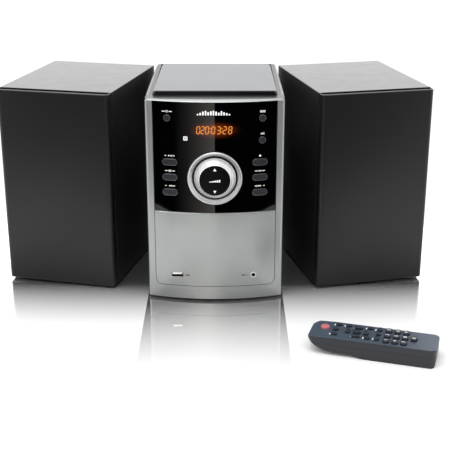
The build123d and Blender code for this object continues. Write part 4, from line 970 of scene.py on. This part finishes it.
def make_cloth(side):
    """The cloth of one grille."""
    way, turn, _ = speaker_place(side)
    low, high = (Vector(corner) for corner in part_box(f"{side}_grille"))
    middle = (low + high) / 2
    clear_selection()
    bpy.ops.mesh.primitive_cube_add(size=1)
    cloth = bpy.context.object
    cloth.scale = (SPEAKER_W, CLOTH_DEPTH, SPEAKER_H)
    bpy.ops.object.transform_apply(location=True, rotation=True, scale=True)
    bpy.ops.object.mode_set(mode="EDIT")
    pick("faces", lambda f: f.normal.y > 0.9)
    bpy.ops.mesh.delete(type="FACE")
    pick("edges", lambda e: all(v.co.y < 0 for v in e.verts) and abs(e.verts[0].co.z - e.verts[1].co.z) > 0.1)
    bpy.ops.mesh.bevel(offset=CLOTH_EDGE, segments=8, affect="EDGES")
    pick("edges", lambda e: len(e.link_faces) == 2 and any(abs(f.normal.z) > 0.9 for f in e.link_faces) and any(abs(f.normal.z) < 0.1 for f in e.link_faces))
    bpy.ops.mesh.bevel(offset=CLOTH_RIM, segments=4, affect="EDGES")
    bpy.ops.mesh.select_all(action="SELECT")
    bpy.ops.mesh.normals_make_consistent(inside=False)
    bpy.ops.object.mode_set(mode="OBJECT")
    modify("SOLIDIFY", thickness=0.6 * MM, offset=-1.0)
    cloth.matrix_world = Matrix.Translation(middle) @ turn
    weave = woven(f"{side}_acoustic_cloth", "#15171C", "#202329", way * -YAW, 1.0)
    return finish_piece(f"{side}_grille_cloth", weave, f"{side}_grille", 40)


def make_frame(side):
    """The grille's moulded frame, copied from the CAD part without its cloth."""
    clear_selection()
    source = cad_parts[f"{side}_grille"]
    copy = bpy.data.objects.new("frame_copy", source.data.copy())
    bpy.context.collection.objects.link(copy)
    copy.select_set(True)
    bpy.context.view_layer.objects.active = copy
    bpy.ops.object.mode_set(mode="EDIT")
    bpy.ops.mesh.select_all(action="SELECT")
    bpy.ops.mesh.remove_doubles(threshold=0.001 * MM)
    bpy.ops.mesh.separate(type="LOOSE")
    bpy.ops.object.mode_set(mode="OBJECT")
    loose = sorted(bpy.context.selected_objects, key=lambda piece: piece.dimensions.z)
    kept = loose[0]
    for extra in loose[1:]:
        bpy.data.objects.remove(extra)
    bpy.context.view_layer.objects.active = kept
    return finish_piece(f"{side}_grille_frame", fine_black, f"{side}_grille", 30)


for side in SIDES:
    grille_frame = make_frame(side)
    cloth = make_cloth(side)
    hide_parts(f"{side}_grille")
    print(side, "cloth", [round(v / MM) for v in cloth.dimensions])

# %% [markdown]
# Lens
# The sled carries a small glass lens, the one bright thing in the well when the lid is up. A sphere's
# cap, flattened, is the shape of a moulded lens.

# %% Laser lens
lens_glass = new_material("coated_lens_glass", "#2C3C6E", 0.03, IOR=1.6, Coat_Weight=1.0, Coat_Roughness=0.02)
lens_tint = add(lens_glass, "LayerWeight", Blend=0.4)
connect(lens_glass, blend_colours(lens_glass, lens_tint.outputs["Facing"], "#1B2450", "#6A4AA8").outputs[0], "Base Color")
sled_low, sled_high = (Vector(corner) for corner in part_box("laser_sled"))
hub = middle_of("turntable")
clear_selection()
bpy.ops.mesh.primitive_uv_sphere_add(segments=32, ring_count=16, radius=2.6 * MM, location=(hub.x, hub.y - 24 * MM, sled_high.z - 0.6 * MM))
bpy.context.object.scale = (1, 1, 0.45)
bpy.ops.object.transform_apply(location=False, rotation=False, scale=True)
bpy.ops.object.mode_set(mode="EDIT")
pick("verts", lambda v: v.co.z < -0.01 * MM)
bpy.ops.mesh.delete(type="VERT")
pick("edges", lambda e: all(abs(v.co.z) < 0.01 * MM for v in e.verts))
bpy.ops.mesh.extrude_region()
bpy.ops.transform.resize(value=(1.25, 1.25, 1))
bpy.ops.mesh.extrude_region_move(TRANSFORM_OT_translate={"value": (0, 0, -0.5 * MM)})
bpy.ops.mesh.fill()
bpy.ops.object.mode_set(mode="OBJECT")
laser_lens = finish_piece("laser_lens", lens_glass, "laser_sled", 40)

# %% [markdown]
# Floor and light
# The set stands on a white, slightly glossy sheet. Everything round it is white, and one large soft box overhead gives
# the soft shadows. Gloss black needs something to mirror, so there are two cards that only reflections see: a bright
# one behind, which the tops mirror, and a dark one in front, with a soft grey sweep on its left, which gives the facia
# its sheen.

# %% Floor
floor_finish = bpy.data.materials.new("white_acrylic_sheet")
floor_finish.use_nodes = True
floor_place = add(floor_finish, "SeparateXYZ", Vector=object_place(floor_finish))
SHARP_HALF, GLOSS_SHARE = HALF_WIDTH + 2 * MM, 0.94
from_middle = add(floor_finish, "Math", {"operation": "ABSOLUTE"}, i0=floor_place.outputs["X"])
before_receiver = add(floor_finish, "Math", {"operation": "LESS_THAN"}, i0=from_middle.outputs[0], i1=SHARP_HALF)
clear_fade = add(
    floor_finish, "MapRange", Value=floor_place.outputs["Y"], From_Min=-0.27, From_Max=-0.045, To_Max=1.0,
)
clear_share = add(floor_finish, "Math", {"operation": "POWER"}, i0=clear_fade.outputs[0], i1=1.6)
soft_fade = add(
    floor_finish, "MapRange", Value=floor_place.outputs["Y"], From_Min=-0.125, From_Max=0.015, To_Max=1.0,
)
soft_share = add(floor_finish, "Math", {"operation": "POWER"}, i0=soft_fade.outputs[0], i1=1.4)
front_share = add(
    floor_finish, "Mix", {"data_type": "FLOAT"}, i0=before_receiver.outputs[0], i2=soft_share.outputs[0], i3=clear_share.outputs[0],
)
back_fade = add(
    floor_finish, "MapRange", Value=floor_place.outputs["Y"], From_Min=0.20, From_Max=0.30, To_Min=GLOSS_SHARE, To_Max=0.0,
)
side_fade = add(floor_finish, "MapRange", Value=from_middle.outputs[0], From_Min=0.27, From_Max=0.33, To_Min=1.0, To_Max=0.0)
set_share = add(floor_finish, "Math", {"operation": "MULTIPLY"}, i0=front_share.outputs[0], i1=back_fade.outputs[0])
polish = add(floor_finish, "Math", {"operation": "MULTIPLY"}, i0=set_share.outputs[0], i1=side_fade.outputs[0])
blur = add(floor_finish, "MapRange", Value=before_receiver.outputs[0], To_Min=0.12, To_Max=0.05)
matt = add(floor_finish, "BsdfDiffuse", Color=(0.97, 0.97, 0.97, 1))
gloss = add(floor_finish, "BsdfGlossy", Color=(1, 1, 1, 1), Roughness=blur.outputs[0])
sheet = add(floor_finish, "MixShader", Fac=polish.outputs[0], i1=matt.outputs[0], i2=gloss.outputs[0])
floor_finish.node_tree.links.new(sheet.outputs[0], floor_finish.node_tree.nodes["Material Output"].inputs["Surface"])
bpy.ops.object.select_all(action="DESELECT")
bpy.ops.mesh.primitive_plane_add(size=14, location=(0, 3, 0))
bpy.ops.object.transform_apply(location=True, rotation=True, scale=True)
floor = bpy.context.object
floor.name = "floor"
floor.data.materials.append(floor_finish)

# %% Lights and cards
world = bpy.data.worlds.new("studio")
bpy.context.scene.world = world
world.use_nodes = True
world.node_tree.nodes["Background"].inputs["Color"].default_value = (1, 1, 1, 1)
world.node_tree.nodes["Background"].inputs["Strength"].default_value = 1.0


def soft_box(name, place, target, size, power):
    """A square soft light that points at a target."""
    data = bpy.data.lights.new(name, "AREA")
    data.size = size
    data.energy = power
    light = bpy.data.objects.new(name, data)
    bpy.context.collection.objects.link(light)
    light.location = place
    light.rotation_euler = (Vector(target) - Vector(place)).to_track_quat("-Z", "Y").to_euler()
    return light


soft_box("overhead", (-0.3, -0.5, 1.7), (0, 0, 0.1), 1.4, 14)


def reflection_card(name, corners_low, corners_high, material):
    """An upright card that only reflections see."""
    width, height = corners_high[0] - corners_low[0], corners_high[1] - corners_low[1]
    bpy.ops.object.select_all(action="DESELECT")
    bpy.ops.mesh.primitive_plane_add(size=1, rotation=(math.radians(90), 0, 0))
    card = bpy.context.object
    card.scale = (width, height, 1)
    card.location = ((corners_low[0] + corners_high[0]) / 2, corners_low[2], (corners_low[1] + corners_high[1]) / 2)
    card.name = name
    card.data.materials.append(material)
    for ray in ("camera", "diffuse", "shadow", "transmission", "volume_scatter"):
        setattr(card, f"visible_{ray}", False)
    return card


def glowing(name, strength):
    """A card material that gives out even white light."""
    material = new_material(name, "#000000", 1.0, Specular_IOR_Level=0.0)
    shader = material.node_tree.nodes["Principled BSDF"]
    shader.inputs["Emission Color"].default_value = (1, 1, 1, 1)
    shader.inputs["Emission Strength"].default_value = strength
    return material


back_card = reflection_card("back_card", (-2.5, 0.25, 2.2), (2.5, 2.6, 2.2), glowing("back_card_light", 1.75))


dark_card_finish = new_material("front_card_sweep", "#000000", 1.0, Specular_IOR_Level=0.0)
sweep_x = add(dark_card_finish, "SeparateXYZ", Vector=object_place(dark_card_finish)).outputs["X"]
CARD_HALF, CARD_LOW, CARD_TOP, CARD_AHEAD = 0.6, 0.018, 0.45, 0.235
EDGE_X, DARK_X = -0.0028, -0.165
rise = add(
    dark_card_finish, "MapRange", Value=sweep_x, From_Min=DARK_X / (2 * CARD_HALF), From_Max=EDGE_X / (2 * CARD_HALF),
)
left_of_edge = add(dark_card_finish, "Math", {"operation": "LESS_THAN"}, i0=sweep_x, i1=EDGE_X / (2 * CARD_HALF))
sweep = add(dark_card_finish, "Math", {"operation": "MULTIPLY"}, i0=rise.outputs[0], i1=left_of_edge.outputs[0])
sweep_curve = add(dark_card_finish, "Math", {"operation": "POWER"}, i0=sweep.outputs[0], i1=1.8)
connect(dark_card_finish, blend_colours(dark_card_finish, sweep_curve.outputs[0], "#000000", "#FFF6EE").outputs[0], "Emission Color")
dark_card_finish.node_tree.nodes["Principled BSDF"].inputs["Emission Strength"].default_value = 1.4
card_back = add(dark_card_finish, "NewGeometry").outputs["Backfacing"]
card_front = dark_card_finish.node_tree.nodes["Principled BSDF"].outputs[0]
one_way = add(dark_card_finish, "MixShader", Fac=card_back, i1=add(dark_card_finish, "BsdfTransparent").outputs[0], i2=card_front)
dark_card_finish.node_tree.links.new(one_way.outputs[0], dark_card_finish.node_tree.nodes["Material Output"].inputs["Surface"])
card_y = CORNER_LINE_Y - CARD_AHEAD
front_card = reflection_card("front_card", (-CARD_HALF, CARD_LOW, card_y), (CARD_HALF, CARD_TOP, card_y), dark_card_finish)
